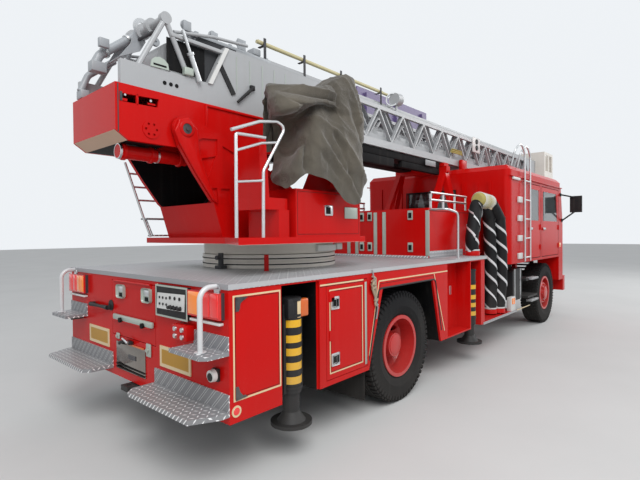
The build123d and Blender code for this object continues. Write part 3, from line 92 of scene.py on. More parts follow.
def shade(tree, kind, inputs=None, **settings):
    """A shader node with its settings and inputs given."""
    node = tree.nodes.new(kind)
    for name, value in settings.items():
        setattr(node, name, value)
    for label, term in (inputs or {}).items():
        give(node.inputs[label], term)
    return node


class Value:
    """A node's output; sums, products, tests and textures of it are nodes of the same tree."""

    def __init__(self, socket):
        self.socket, self.tree = socket, socket.id_data

    def op(self, operation, *others, clamp=False):
        node = shade(self.tree, "ShaderNodeMath", operation=operation, use_clamp=clamp)
        for socket, term in zip(node.inputs, (self, *others)):
            give(socket, term)
        return Value(node.outputs[0])

    def __add__(self, other):
        return self.op("ADD", other)

    def __sub__(self, other):
        return self.op("SUBTRACT", other)

    def __mul__(self, other):
        return self.op("MULTIPLY", other)

    def band(self, low, high, to_low=0.0, to_high=1.0):
        """This range of the value spread over another, clamped."""
        node = shade(self.tree, "ShaderNodeMapRange", {"Value": self, "From Min": low, "From Max": high,
                                                       "To Min": to_low, "To Max": to_high})
        return Value(node.outputs["Result"])

    def blend(self, low, high):
        """Two colours mixed by this share."""
        node = shade(self.tree, "ShaderNodeMix", data_type="RGBA")
        for index, term in ((0, self), (6, low), (7, high)):
            give(node.inputs[index], term)
        return Value(node.outputs[2])

    def noise(self, scale, detail, rough=0.55):
        return Value(shade(self.tree, "ShaderNodeTexNoise", {
            "Scale": scale, "Detail": detail, "Roughness": rough, "Vector": self}).outputs["Fac"])

    def stretched(self, scale):
        node = shade(self.tree, "ShaderNodeMapping", {"Scale": scale, "Vector": self})
        return Value(node.outputs["Vector"])


def position(tree):
    """The object's own coordinates: the vector, then X, Y and Z."""
    place = Value(shade(tree, "ShaderNodeTexCoord").outputs["Object"])
    return place, *map(Value, shade(tree, "ShaderNodeSeparateXYZ", {"Vector": place}).outputs)


# Light: a pale even world, brighter where it is seen or mirrored, and two broad lamps
SKY_LIT, SKY_SEEN = ((0.93, 0.96, 1.0, 1), 0.62), ((0.86, 0.89, 0.92, 1), 1.0)
LAMP_SIZE = 7.0
LAMPS = (("sky_lamp", at(-3500, -7500, 9500), at(3500, 0, 1200), 900),
         ("front_lamp", at(15000, -6000, 8500), at(6500, 0, 1500), 480))


def make_light():
    scene = bpy.context.scene
    scene.view_settings.view_transform = "Standard"
    world = bpy.data.worlds.new("studio")
    scene.world = world
    world.use_nodes = True
    tree = world.node_tree
    tree.nodes.clear()
    mix = shade(tree, "ShaderNodeMixShader")
    for index, (colour, strength) in enumerate((SKY_LIT, SKY_SEEN), 1):
        sky = shade(tree, "ShaderNodeBackground", {"Color": colour, "Strength": strength})
        give(mix.inputs[index], Value(sky.outputs[0]))
    path = shade(tree, "ShaderNodeLightPath").outputs
    camera, through, glossy = (Value(path[f"Is {kind} Ray"]) for kind in ("Camera", "Transmission", "Glossy"))
    give(mix.inputs[0], camera.op("MAXIMUM", through).op("MAXIMUM", glossy))
    shade(tree, "ShaderNodeOutputWorld", {"Surface": Value(mix.outputs[0])})
    for name, place, aim, power in LAMPS:
        lamp = bpy.data.lights.new(name, "AREA")
        lamp.size = LAMP_SIZE
        lamp.energy = power
        lamp_object = bpy.data.objects.new(name, lamp)
        scene.collection.objects.link(lamp_object)
        lamp_object.location = place
        lamp_object.rotation_euler = (aim - place).to_track_quat("-Z", "Y").to_euler()


make_light()


# Looks that the materials share
def group(name, inputs, outputs, build):
    """A shader node group with named sockets, filled by build(tree, inside) -> outputs."""
    tree = bpy.data.node_groups.new(name, "ShaderNodeTree")
    for label, value in inputs.items():
        kind = "NodeSocketColor" if isinstance(value, tuple) else "NodeSocketFloat"
        tree.interface.new_socket(label, in_out="INPUT", socket_type=kind).default_value = value
    for label in outputs:
        kind = "NodeSocketColor" if label == "Colour" else "NodeSocketFloat"
        tree.interface.new_socket(label, in_out="OUTPUT", socket_type=kind)
    inside = tree.nodes.new("NodeGroupInput")
    made = build(tree, {socket.name: Value(socket) for socket in inside.outputs if socket.name})
    shade(tree, "NodeGroupOutput", dict(zip(outputs, made)))
    return tree


def build_weathering(tree, inside):
    """Paint outdoors: broad change of tone, rain streaks, road film low down, dust specks, orange peel."""
    place, _, _, height = position(tree)
    broad = place.noise(1.1, 4)
    streaks = place.stretched((16, 16, 0.9)).noise(1.0, 3).band(0.52, 0.75)
    film = (height.band(inside["Film Top"], 0.2) + streaks * 0.45) * broad.band(0.25, 0.8, 0.35, 1.0)
    film = film.op("MULTIPLY", inside["Film"], clamp=True)
    toned = broad.band(0.3, 0.75, 0.0, 0.14).blend(inside["Colour"], (0.02, 0.02, 0.02, 1))
    dust = place.noise(60, 2).band(0.62, 0.8, 0.0, 0.2) * inside["Film"]
    coloured = film.blend(dust.blend(toned, (0.75, 0.73, 0.7, 1)), inside["Film Colour"])
    rough = inside["Roughness"].op("ADD", film * 0.45, clamp=True)
    return coloured, rough, place.noise(420, 1) + film * place.noise(900, 1)


WEATHER = group("weathered_film", {"Colour": (0.5, 0.5, 0.5, 1), "Film Colour": (0.32, 0.29, 0.25, 1),
                                   "Film": 0.5, "Film Top": 0.9, "Roughness": 0.3},
                ("Colour", "Roughness", "Height"), build_weathering)


def build_checker(tree, inside):
    """Raised lozenges of tread plate, turned a quarter from cell to cell."""
    _, x, y, z = position(tree)
    u, v = x.op("DIVIDE", inside["Cell"]), (y + z).op("DIVIDE", inside["Cell"])
    odd = ((u.op("FLOOR") + v.op("FLOOR")) * 0.5).op("FRACT") * 2.0
    du, dv = u.op("FRACT") - 0.5, (v.op("FRACT") - 0.5) * (odd * 2.0 - 1.0)
    along, aside = (du + dv).op("ABSOLUTE"), (du - dv).op("ABSOLUTE")
    return ((along * 1.2 + aside * 4.2).band(0.9, 0.6),)


CHECKER = group("tread_lozenges", {"Cell": 0.028}, ("Lug",), build_checker)


def build_scratches(tree, inside):
    """Fine drawn lines and handling marks on bare metal."""
    place = position(tree)[0]
    marks = place.noise(14, 5, 0.7)
    coloured = marks.band(0.4, 0.75, 0.0, 0.4).blend(inside["Colour"], inside["Dull Colour"])
    rough = inside["Roughness"].op("ADD", marks.band(0.3, 0.8, -0.04, 0.16), clamp=True)
    return coloured, rough, place.stretched((9, 260, 260)).noise(1.0, 2)


DRAWN = group("drawn_metal", {"Colour": (0.7, 0.7, 0.7, 1), "Dull Colour": (0.45, 0.44, 0.42, 1),
                              "Roughness": 0.3}, ("Colour", "Roughness", "Height"), build_scratches)


def build_cloth(tree, inside):
    """Plain woven canvas, faded and stained."""
    place = position(tree)[0]
    warp, weft = (Value(shade(tree, "ShaderNodeTexWave", {"Scale": 160, "Distortion": 0.6, "Vector": place},
                              wave_type="BANDS", bands_direction=way).outputs["Fac"]) for way in ("X", "Z"))
    weave = warp * weft
    faded = place.noise(3.2, 6, 0.6).band(0.35, 0.7).blend(inside["Colour"], inside["Faded Colour"])
    stain = place.stretched((5, 5, 1.2)).noise(1.0, 4).band(0.55, 0.8, 0.0, 0.55)
    stained = stain.blend(faded, (0.05, 0.045, 0.035, 1))
    return (weave * 0.18).blend(stained, (0.6, 0.57, 0.48, 1)), weave


CLOTH = group("canvas_weave", {"Colour": (0.1, 0.09, 0.07, 1), "Faded Colour": (0.2, 0.18, 0.14, 1)},
              ("Colour", "Height"), build_cloth)


def place_group(tree, source, values):
    node = shade(tree, "ShaderNodeGroup", node_tree=source)
    for label, value in values.items():
        give(node.inputs[label], value)
    return {socket.name: Value(socket) for socket in node.outputs}


def filmed(tree, colour, film, film_top, roughness):
    return place_group(tree, WEATHER, {"Colour": (*colour, 1), "Film": film, "Film Top": film_top,
                                       "Roughness": roughness})


def new_material(name, inputs):
    material = bpy.data.materials.new(name)
    material.use_nodes = True
    surface = material.node_tree.nodes["Principled BSDF"]
    for label, value in inputs.items():
        give(surface.inputs[label], value)
    return material, material.node_tree, surface


def dressed(material, surface, look, relief=None):
    """Links a look to the surface, its height as bump with a strength and a depth in metres."""
    give(surface.inputs["Base Color"], look["Colour"])
    if "Roughness" in look:
        give(surface.inputs["Roughness"], look["Roughness"])
    if relief:
        raised_by = shade(surface.id_data, "ShaderNodeBump",
                          {"Strength": relief[0], "Distance": relief[1], "Height": look["Height"]})
        give(surface.inputs["Normal"], Value(raised_by.outputs["Normal"]))
    return material


def paint(name, colour, roughness=0.22, film=0.35, film_top=0.9, coat=0.5, metallic=0.0):
    material, tree, surface = new_material(
        name, {"Coat Weight": coat, "Coat Roughness": 0.08, "Metallic": metallic})
    return dressed(material, surface, filmed(tree, colour, film, film_top, roughness), (0.10, 0.0006))


def bare_metal(name, colour, dull, roughness=0.28):
    material, tree, surface = new_material(name, {"Metallic": 1.0})
    values = {"Colour": (*colour, 1), "Dull Colour": (*dull, 1), "Roughness": roughness}
    return dressed(material, surface, place_group(tree, DRAWN, values), (0.12, 0.0004))


def canvas(name, colour, faded):
    material, tree, surface = new_material(name, {"Roughness": 0.85, "Sheen Weight": 0.25})
    values = {"Colour": (*colour, 1), "Faded Colour": (*faded, 1)}
    return dressed(material, surface, place_group(tree, CLOTH, values), (0.4, 0.0008))


def rubber(name, colour, roughness, film, film_top):
    material, tree, surface = new_material(name, {"Specular IOR Level": 0.22})
    return dressed(material, surface, filmed(tree, colour, film, film_top, roughness), (0.35, 0.001))


def glass(name, tint, alpha, glow=0.0):
    material, tree, surface = new_material(name, {
        "Alpha": alpha, "Emission Color": (*tint, 1), "Emission Strength": glow,
        "Coat Weight": 1.0, "Coat Roughness": 0.02})
    return dressed(material, surface, filmed(tree, tint, 0.12, 2.6, 0.03))


def tread_plate(name, colour, cell, tube_from=None):
    """Tread plate; plain tube stands for it above a height (m) behind the rear face."""
    material, tree, surface = new_material(name, {"Metallic": 0.12})
    share = place_group(tree, CHECKER, {"Cell": cell})["Lug"]
    film = filmed(tree, colour, 0.35, 0.9, 0.42)
    if tube_from:
        _, x, _, z = position(tree)
        tube = (x * -1.0).op("GREATER_THAN", REAR_TO_MIDDLE + 0.012) * z.op("GREATER_THAN", tube_from)
        share = (share * (tube * -1.0 + 1.0)).op("MAXIMUM", tube * 0.55)
    look = {"Colour": share.blend(film["Colour"], (1, 1, 1, 1)), "Roughness": share.band(0, 1, 0.5, 0.26),
            "Height": share}
    return dressed(material, surface, look, (0.9, 0.002))


ANY = (None, None)


def zoned(name, colour, zones=(), roughness=0.24, film=0.05, coat=0.06):
    """One paint with other tones in boxes: zones of (colour, roughness, limits of station, |y| and z)."""
    material, tree, surface = new_material(
        name, {"Coat Weight": coat, "Coat Roughness": 0.08, "Specular IOR Level": 0.12})
    look = filmed(tree, colour, film, 0.8, roughness)
    _, x, y, z = position(tree)
    measures = x + REAR_TO_MIDDLE, y.op("ABSOLUTE"), z
    for tone, tone_rough, limits in zones:
        tests = [measure.op(test, end) for measure, ends in zip(measures, limits)
                 for test, end in zip(("GREATER_THAN", "LESS_THAN"), ends) if end is not None]
        mask = math.prod(tests[1:], start=tests[0])
        other = filmed(tree, tone, 0.1, 0.8, tone_rough)
        look["Colour"] = mask.blend(look["Colour"], other["Colour"])
        look["Roughness"] = mask.band(0, 1, look["Roughness"], other["Roughness"])
    return dressed(material, surface, look, (0.10, 0.0006))


# The middle colour is near-black painted shade, for insides, holes, cups and gaps that lie in shadow.
ENAMEL, SHADE_DARK, PALE = (0.60, 0.004, 0.003), (0.004, 0.004, 0.0045), (0.80, 0.75, 0.68)
TAIL_WHITE = (0.42, 0.43, 0.44)
RED = zoned("red_enamel", ENAMEL)
# Body red; its inward faces are painted near-black as painted shade, and red again on the locker's outer
# faces.
RED_BODY_SHADED = zoned("red_enamel_body", ENAMEL, (
    (SHADE_DARK, 0.7, ((0.021, None), (None, 1.2185), ANY)),
    (ENAMEL, 0.24, ((2.94, None), (1.03, None), ANY))))
# Turntable red; between the cheeks behind the apron and high in the middle it is painted near-black as
# painted shade, and pale grey low down on the ring.
TABLE_RED_SHADED = zoned("red_enamel_table", ENAMEL, (
    (SHADE_DARK, 0.7, ((0.603, None), (None, 0.3865), (1.56, None))),
    (SHADE_DARK, 0.7, (ANY, (None, 0.3865), (1.868, None))),
    (PALE, 0.45, (ANY, ANY, (None, 1.531)))))
# Arm red with a beige chin; its inside below the top is painted near-black as painted shade.
ARM_RED_SHADED = zoned("red_enamel_arm", ENAMEL, (
    ((0.62, 0.42, 0.30), 0.4, ((None, -0.19), (None, 0.3525), (None, 2.334))),
    (SHADE_DARK, 0.7, ((-0.19, None), (None, 0.34), (None, 2.6)))))
# Ladder white; its tail end is painted near-black as painted shade of the ladder's open inside.
WHITE_SHADED_TAIL = zoned("ladder_white_tail", TAIL_WHITE, (
    ((0.05, 0.052, 0.056), 0.6, ((None, 0.80), ANY, ANY)),), 0.35, 0.3)
LAMP_SIGNAL = zoned("signal_lamps", (0.75, 0.012, 0.010), (
    ((0.05, 0.05, 0.055), 0.5, ((-0.026, 1.0), ANY, ANY)),), 0.06, 0.05, 1.0)
RED_TRIM = zoned("red_trim", (0.57, 0.005, 0.004))
WHEEL_RED = paint("wheel_enamel", (0.55, 0.008, 0.008), 0.28, 0.22, 1.1, 0.3)
BLACK = paint("chassis_black", (0.006, 0.006, 0.007), 0.6, 0.12, 0.9, 0.0)
WHITE = paint("ladder_white", TAIL_WHITE, 0.35, 0.35, 2.2, 0.1)
GREY = paint("table_grey", (0.84, 0.79, 0.72), 0.42, 0.3, 1.2, 0.1)
JACK_BLACK = paint("jack_black", (0.005, 0.005, 0.006), 0.6, 0.08, 0.9, 0.0)
CREAM = paint("stripe_cream", (0.80, 0.62, 0.36), 0.35, 0.2, 0.8, 0.2)
YELLOW = paint("band_yellow", (0.86, 0.47, 0.01), 0.42, 0.4, 0.9, 0.15)
LIP_SILVER = paint("lip_silver", (0.50, 0.50, 0.51), 0.35, 0.3, 1.0, 0.1)
SATIN = paint("satin_latch", (0.46, 0.52, 0.46), 0.36, 0.2, 0.9, 0.2, 0.2)
PIPE_GREY = paint("pipe_grey", (0.36, 0.38, 0.40), 0.42, 0.45, 1.2, 0.15)
POLE = paint("pole_straw", (0.55, 0.49, 0.27), 0.5, 0.5, 1.2, 0.0)
CHALK = paint("chalk_white", (0.74, 0.74, 0.72), 0.42, 0.4, 1.0, 0.1)
SIGN_GREY = paint("blank_sheet", (0.30, 0.31, 0.32), 0.5, 0.3, 1.0, 0.1)
BOARD_BLUE = paint("board_violet", (0.14, 0.10, 0.24), 0.45, 0.3, 1.0, 0.1)
REFLECTOR = paint("yellow_reflector", (0.50, 0.25, 0.004), 0.4, 0.1, 0.9, 0.05)
ORANGE = paint("plug_orange", (0.70, 0.13, 0.01), 0.35, 0.2)
HOSE_WHITE = paint("hose_band_white", (0.72, 0.73, 0.74), 0.5, 0.2, 0.8, 0.0)
ALUMINIUM = tread_plate("tread_aluminium", (0.36, 0.365, 0.38), 0.044)
STEP_PLATE = tread_plate("step_aluminium", (0.27, 0.275, 0.29), 0.040, 0.895)
BRIGHT = bare_metal("bright_tube", (0.72, 0.73, 0.74), (0.5, 0.49, 0.47))
DULL_STEEL = bare_metal("dull_steel", (0.34, 0.31, 0.28), (0.24, 0.21, 0.18), 0.12)
TYRE = rubber("tyre_rubber", (0.007, 0.007, 0.008), 0.85, 0.10, 1.0)
HOSE = rubber("hose_rubber", (0.008, 0.008, 0.009), 0.6, 0.1, 1.0)
PANEL_BLACK = rubber("panel_black", (0.015, 0.015, 0.016), 0.45, 0.25, 0.9)
SEAT = rubber("seat_vinyl", (0.06, 0.06, 0.065), 0.5, 0.1, 0.5)
IRON = rubber("engine_iron", (0.06, 0.06, 0.065), 0.6, 0.4, 1.2)
# Dark lines: real seams, grooves and gaskets, and painted shadow lines beside the cream lines.
SEAM_AND_SHADOW = rubber("dark_seam", (0.012, 0.010, 0.010), 0.8, 0.2, 0.6)
# A near-black finish of painted shade, for holes, recessed cups, slots and gaps.
PAINTED_SHADE = rubber("dark_inside", SHADE_DARK, 0.85, 0.1, 0.9)
KNOT_ROPE = rubber("knotted_rope", (0.46, 0.38, 0.27), 0.85, 0.3, 1.0)
WICKER = rubber("strainer_wicker", (0.44, 0.37, 0.12), 0.8, 0.4, 1.0)
GLASS = glass("window_glass", (0.05, 0.07, 0.075), 0.62)
LAMP_RED = glass("red_lens", (0.75, 0.01, 0.01), 0.97, 0.25)
LAMP_CLEAR = glass("clear_lens", (0.8, 0.82, 0.83), 0.9)
AMBER = glass("amber_lens", (0.85, 0.22, 0.01), 0.97, 0.25)
CANVAS = canvas("olive_canvas", (0.046, 0.037, 0.026), (0.098, 0.081, 0.058))

SLOT_FINISH = {
    "red_paint": RED, "black_paint": BLACK, "white_paint": WHITE, "grey_paint": GREY,
    "checker_plate": ALUMINIUM, "bright_tube": BRIGHT, "wheel_red": WHEEL_RED, "tyre_rubber": TYRE,
    "hose_rubber": HOSE, "window_glass": GLASS, "lamp_red": LAMP_RED, "lamp_clear": LAMP_CLEAR,
    "panel_black": PANEL_BLACK, "seat_vinyl": SEAT, "engine_iron": IRON, "mirror_black": PANEL_BLACK,
    "canvas": CANVAS, "jack_paint": JACK_BLACK, "board_blue": BOARD_BLUE,
}
NODE_FINISH = {"rear_body": RED_BODY_SHADED, "front_panel": RED_BODY_SHADED, "turntable_frame": TABLE_RED_SHADED,
               "elevating_frame": ARM_RED_SHADED, "second_ladder": WHITE_SHADED_TAIL, "signal_lamps": LAMP_SIGNAL,
               "rear_steps": STEP_PLATE}


def dress_nodes():
    """Every CAD node gets the procedural finish of its slot, or its own."""
    slot_of = {row["node"]: row["material_slot"] for row in frame["record"]["subparts"]}
    for name, node in NODES.items():
        for slot in node.material_slots:
            slot.material = NODE_FINISH.get(name, SLOT_FINISH[slot_of[name]])


dress_nodes()


# Shapes added to a bmesh, all in station millimetres; the limits below are metres and radians
WELD, MIRROR_WELD, LEAST_BEND = 0.00002, 0.00001, 0.01


def turned(direction):
    return direction.to_track_quat("Z", "Y").to_matrix().to_4x4()


def verts_in(items):
    return [item for item in items if isinstance(item, bmesh.types.BMVert)]


def block(mesh, x0, x1, y0, y1, z0, z1, ease=0, steps=2):
    """A box with eased edges."""
    low, high = at(x0, y0, z0), at(x1, y1, z1)
    made = bmesh.ops.create_cube(mesh, size=1.0)["verts"]
    bmesh.ops.scale(mesh, vec=high - low, verts=made)
    bmesh.ops.translate(mesh, vec=(low + high) / 2, verts=made)
    if ease:
        edges = list({edge for vert in made for edge in vert.link_edges})
        bmesh.ops.bevel(mesh, geom=edges, offset=ease / 1000, segments=steps, affect="EDGES",
                        profile=0.5, material=-1)


def rod(mesh, start, end, radius, sides=16, end_radius=None):
    """A round bar or cone between two points."""
    low, high = at(*start), at(*end)
    bmesh.ops.create_cone(mesh, cap_ends=True, segments=sides, radius1=radius / 1000,
                          radius2=(radius if end_radius is None else end_radius) / 1000,
                          depth=(high - low).length,
                          matrix=Matrix.Translation((low + high) / 2) @ turned(high - low))


def face_through(mesh, points):
    return mesh.faces.new([mesh.verts.new(at(*point)) for point in points])


def pushed(mesh, faces, push):
    grown = bmesh.ops.extrude_face_region(mesh, geom=faces)["geom"]
    bmesh.ops.translate(mesh, vec=Vector(push) / 1000, verts=verts_in(grown))


def plate(mesh, points, push):
    """A flat sheet with the given corners, thickened by a push."""
    pushed(mesh, [face_through(mesh, points)], push)


def outline(mesh, points, width, push):
    """A raised line of one width along the inside of a polygon."""
    face = face_through(mesh, points)
    face.normal_update()
    rim = bmesh.ops.inset_region(mesh, faces=[face], thickness=width / 1000, use_even_offset=True,
                                 use_boundary=True)["faces"]
    bmesh.ops.delete(mesh, geom=[face], context="FACES_ONLY")
    pushed(mesh, rim, push)


def lathe(mesh, profile, centre, axis, steps=32):
    """Turns a closed profile of (radius, along) pairs round an axis through a centre."""
    along = Vector(axis).normalized()
    side = along.orthogonal().normalized()
    middle = at(*centre)
    verts = [mesh.verts.new(middle + side * (radius / 1000) + along * (reach / 1000))
             for radius, reach in profile]
    edges = [mesh.edges.new(pair) for pair in zip(verts, verts[1:] + verts[:1])]
    bmesh.ops.spin(mesh, geom=verts + edges, cent=middle, axis=along, dvec=(0, 0, 0),
                   angle=math.tau, steps=steps, use_merge=True)


def ring_edges(verts):
    inside = set(verts)
    return list({edge for vert in verts for edge in vert.link_edges if set(edge.verts) <= inside})


def tube(mesh, points, radius, bend=60, sides=12, steps=5):
    """A round tube through the points, bent at its corners."""
    path = [at(*point) for point in points]
    hoop = bmesh.ops.create_circle(mesh, cap_ends=True, segments=sides, radius=radius / 1000,
                                   matrix=Matrix.Translation(path[0]) @ turned(path[1] - path[0]))["verts"]
    here = path[0]
    for index in range(1, len(path)):
        ahead = (path[index] - path[index - 1]).normalized()
        stop, angle = path[index], 0.0
        if index < len(path) - 1:
            onward = (path[index + 1] - path[index]).normalized()
            angle = ahead.angle(onward)
            stop = path[index] - ahead * (bend / 1000 * math.tan(angle / 2))
        hoop = verts_in(bmesh.ops.extrude_edge_only(mesh, edges=ring_edges(hoop))["geom"])
        bmesh.ops.translate(mesh, vec=stop - here, verts=hoop)
        here = stop
        if angle > LEAST_BEND:
            inward = (onward - ahead * onward.dot(ahead)).normalized()
            hoop = verts_in(bmesh.ops.spin(
                mesh, geom=hoop + ring_edges(hoop), cent=stop + inward * (bend / 1000),
                axis=ahead.cross(onward), dvec=(0, 0, 0), angle=angle, steps=steps)["geom_last"])
            here = path[index] + onward * (bend / 1000 * math.tan(angle / 2))
    bmesh.ops.contextual_create(mesh, geom=ring_edges(hoop))


def mirrored(mesh):
    """The same shapes again at the vehicle's other side."""
    bmesh.ops.mirror(mesh, geom=mesh.verts[:] + mesh.edges[:] + mesh.faces[:], matrix=Matrix.Identity(4),
                     merge_dist=MIRROR_WELD, axis="Y")


def finished(body, name, mesh, finish, sharp=35):
    """A new piece from a bmesh, riding on a body."""
    bmesh.ops.remove_doubles(mesh, verts=mesh.verts, dist=WELD)
    bmesh.ops.recalc_face_normals(mesh, faces=mesh.faces)
    data = bpy.data.meshes.new(name)
    mesh.to_mesh(data)
    mesh.free()
    data.materials.append(finish)
    data.shade_smooth()
    data.set_sharp_from_angle(angle=math.radians(sharp))
    made = bpy.data.objects.new(name, data)
    bpy.context.scene.collection.objects.link(made)
    if body:
        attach(made, body)
    return made


def piece(body, name, finish, blocks=(), rods=(), plates=(), outlines=(), tubes=(), lathes=(), both=False,
          left=False, slot=None):
    """A piece from tables of shapes; both repeats it on the left side, left moves it there."""
    mesh = bmesh.new()
    for shape, rows in ((block, blocks), (rod, rods), (plate, plates), (outline, outlines), (tube, tubes),
                        (lathe, lathes)):
        for row in rows:
            shape(mesh, *row)
    if both:
        mirrored(mesh)
    if left:
        bmesh.ops.scale(mesh, vec=(1, -1, 1), verts=mesh.verts[:])
    return finished(body, name, mesh, finish)


def fixed(name, finish, **shapes):
    return piece("chassis", name, finish, **shapes)


def paired(name, finish, **shapes):
    return fixed(name, finish, both=True, **shapes)


def turning(name, finish, **shapes):
    return piece("turntable", name, finish, **shapes)


def raised(name, finish, **shapes):
    return piece("arm", name, finish, **shapes)


def handed(body, name, finish, **shapes):
    """Two pieces, right and left, each on its own side's body."""
    for word, side in SIDES:
        piece(body.format(word), name.format(word), finish, left=side > 0, **shapes)


def ring(inner, outer, low, high):
    """The profile of a plain ring."""
    return (inner, low), (outer, low), (outer, high), (inner, high)


def on_side(y, *points):
    return [(x, y, z) for x, z in points]


def lengthways(y, x0, x1, z0, z1):
    """Corners of a rectangle along the vehicle."""
    return on_side(y, (x0, z0), (x1, z0), (x1, z1), (x0, z1))


def crossways(x, y0, y1, z0, z1):
    """Corners of a rectangle across the vehicle."""
    return (x, y0, z0), (x, y1, z0), (x, y1, z1), (x, y0, z1)


# Tyres: a turned carcass, centre ribs and two rows of shoulder lugs
def flipped(half):
    return tuple((radius, -reach) for radius, reach in reversed(half))


OUTSIDE = ((270, -109), (298, -109), (312, -121), (340, -132), (372, -138), (378, -140), (384, -138),
           (455, -138), (480, -130), (500, -118), (511, -106), (513, -90))
LINING = ((270, 81), (365, 105), (455, 105), (488, 78))
CARCASS = OUTSIDE + flipped(OUTSIDE) + LINING + flipped(LINING)
TYRE_RIBS = (-34, 0, 34)
# The two blocks of a lug: half length, inner and outer reach, depths below the tread's top, edge radius
LUG_BLOCKS = ((17, 53, 124, 24, 1, 3), (15, 112, 138, 62, 18, 4))
TYRE_STEPS, LUG_COUNT, NUT_COUNT, NUT_CIRCLE = 96, 60, 8, 143
TYRE_Z = 525
TREAD_TOP = TYRE_Z + 525


def tyre(end, word, axle_x, rows):
    mesh = bmesh.new()
    for y in rows:
        centre = (axle_x, y, TYRE_Z)
        lathe(mesh, CARCASS, centre, ACROSS, TYRE_STEPS)
        for rib in TYRE_RIBS:
            rise = (510, rib - 13), (524, rib - 11), (524, rib + 11), (510, rib + 13)
            lathe(mesh, rise, centre, ACROSS, TYRE_STEPS)
        for way in (-1, 1):
            before = set(mesh.verts)
            for half, inner, outer, low, high, ease in LUG_BLOCKS:
                block(mesh, axle_x - half, axle_x + half, y + way * inner, y + way * outer,
                      TREAD_TOP - low, TREAD_TOP - high, ease, 1)
            made = [vert for vert in mesh.verts if vert not in before]
            edges = list({edge for vert in made for edge in vert.link_edges})
            faces = list({face for vert in made for face in vert.link_faces})
            bmesh.ops.spin(mesh, geom=made + edges + faces, cent=at(*centre), axis=ACROSS, dvec=(0, 0, 0),
                           steps=LUG_COUNT - 1, angle=math.tau * (LUG_COUNT - 1) / LUG_COUNT,
                           use_duplicate=True)
    made = finished(f"{end}_wheel_{word}", f"{end}_tread_{word}", mesh, TYRE)
    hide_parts(f"{end}_tyre_{word}")


for end, axle_x, face, cap, rows in (("front", 6950, 1140, 1175, (1040,)),
                                     ("rear", 2055, 919, 1125, (1065, 745))):
    for word, side in SIDES:
        tyre(end, word, axle_x, [side * y for y in rows])
    nuts = []
    for turn in range(NUT_COUNT):
        x = axle_x + NUT_CIRCLE * math.cos(math.tau * turn / NUT_COUNT)
        z = TYRE_Z + NUT_CIRCLE * math.sin(math.tau * turn / NUT_COUNT)
        nuts += [((x, -face, z), (x, -face - 20, z), 17, 6, 16),
                 ((x, -face - 20, z), (x, -face - 30, z), 9, 10)]
    handed(end + "_wheel_{}", end + "_nuts_{}", WHEEL_RED, rods=nuts,
           lathes=[(((92, 0), (92, -5), (78, -9), (0, -9), (0, 0)), (axle_x, -cap, TYRE_Z), ACROSS, 32),
                   (((122, 0), (122, -10), (108, -12), (108, 0)), (axle_x, -face, TYRE_Z), ACROSS, 32)])

# Outriggers: yellow bands and black sleeves on the tubes, lamp blocks with orange lamps
for end, x, heights in (("rear", 612, (968, 860, 767, 666, 565)), ("front", 3730, (934, 810, 713, 608))):
    handed(end + "_beam_{}", end + "_bands_{}", YELLOW,
           lathes=[(ring(74, 78, z - 26, z + 26), (x, -1152, 0), UP, 28) for z in heights])
    handed(end + "_beam_{}", end + "_sleeves_{}", JACK_BLACK,
           lathes=[(ring(74, 82, z - 9, z + 9), (x, -1152, 0), UP, 28)
                   for z in (1136, heights[0] + 56, heights[-1] - 56)],
           blocks=[(foot, foot + 34, -1180, -1120, 470, 1110, 6) for foot in (x + 62, x - 96)])
for name, finish, row in (("lamp_block_{}", JACK_BLACK, (524, 640, -1222, -1080, 1010, 1148, 10)),
                          ("jack_lamp_frame_{}", CREAM, (606, 642, -1230, -1190, 1006, 1143, 5)),
                          ("jack_lamp_{}", ORANGE, (642, 727, -1230, -1180, 1008, 1138, 14, 3))):
    handed("rear_beam_{}", name, finish, blocks=[row])

# Lines painted and pressed into the sides; the thin dark lines beside the cream ones are painted shadow
SKIN = -1240
PROUD = (0, -0.8, 0)


def stripes(width, *chains):
    """Plates for lines painted on the side along chains of (x, z) points."""
    rows = []
    for points in chains:
        for (x0, z0), (x1, z1) in zip(points, points[1:]):
            half = width / 2 / math.hypot(x1 - x0, z1 - z0)
            ax, az = (z0 - z1) * half, (x1 - x0) * half
            rows.append((on_side(SKIN, (x0 + ax, z0 + az), (x0 - ax, z0 - az), (x1 - ax, z1 - az),
                                 (x1 + ax, z1 + az)), PROUD))
    return rows


paired("panel_lines", CREAM, outlines=[(lengthways(SKIN, 30, 432, 572, 1228), 12, PROUD)],
       plates=stripes(12, ((838, 1216), (1387, 1216)), ((1462, 560), (1618, 1184)),
                      ((1618, 1184), (2950, 1184)), ((2640, 1180), (2875, 540))))
# Thin dark lines beside the cream lines are painted shadow.
paired("panel_seams", SEAM_AND_SHADOW, outlines=[(lengthways(SKIN, 48, 414, 590, 1210), 3, PROUD)],
       plates=stripes(4, ((1478, 560), (1640, 1160)), ((1640, 1160), (2630, 1160)),
                      ((2630, 1160), (2858, 540)), ((838, 1204), (1387, 1204))))
handed("locker_body_{}", "locker_line_{}", CREAM,
       outlines=[(lengthways(-1240.4, 944, 1374, 525, 1174), 10, PROUD)])
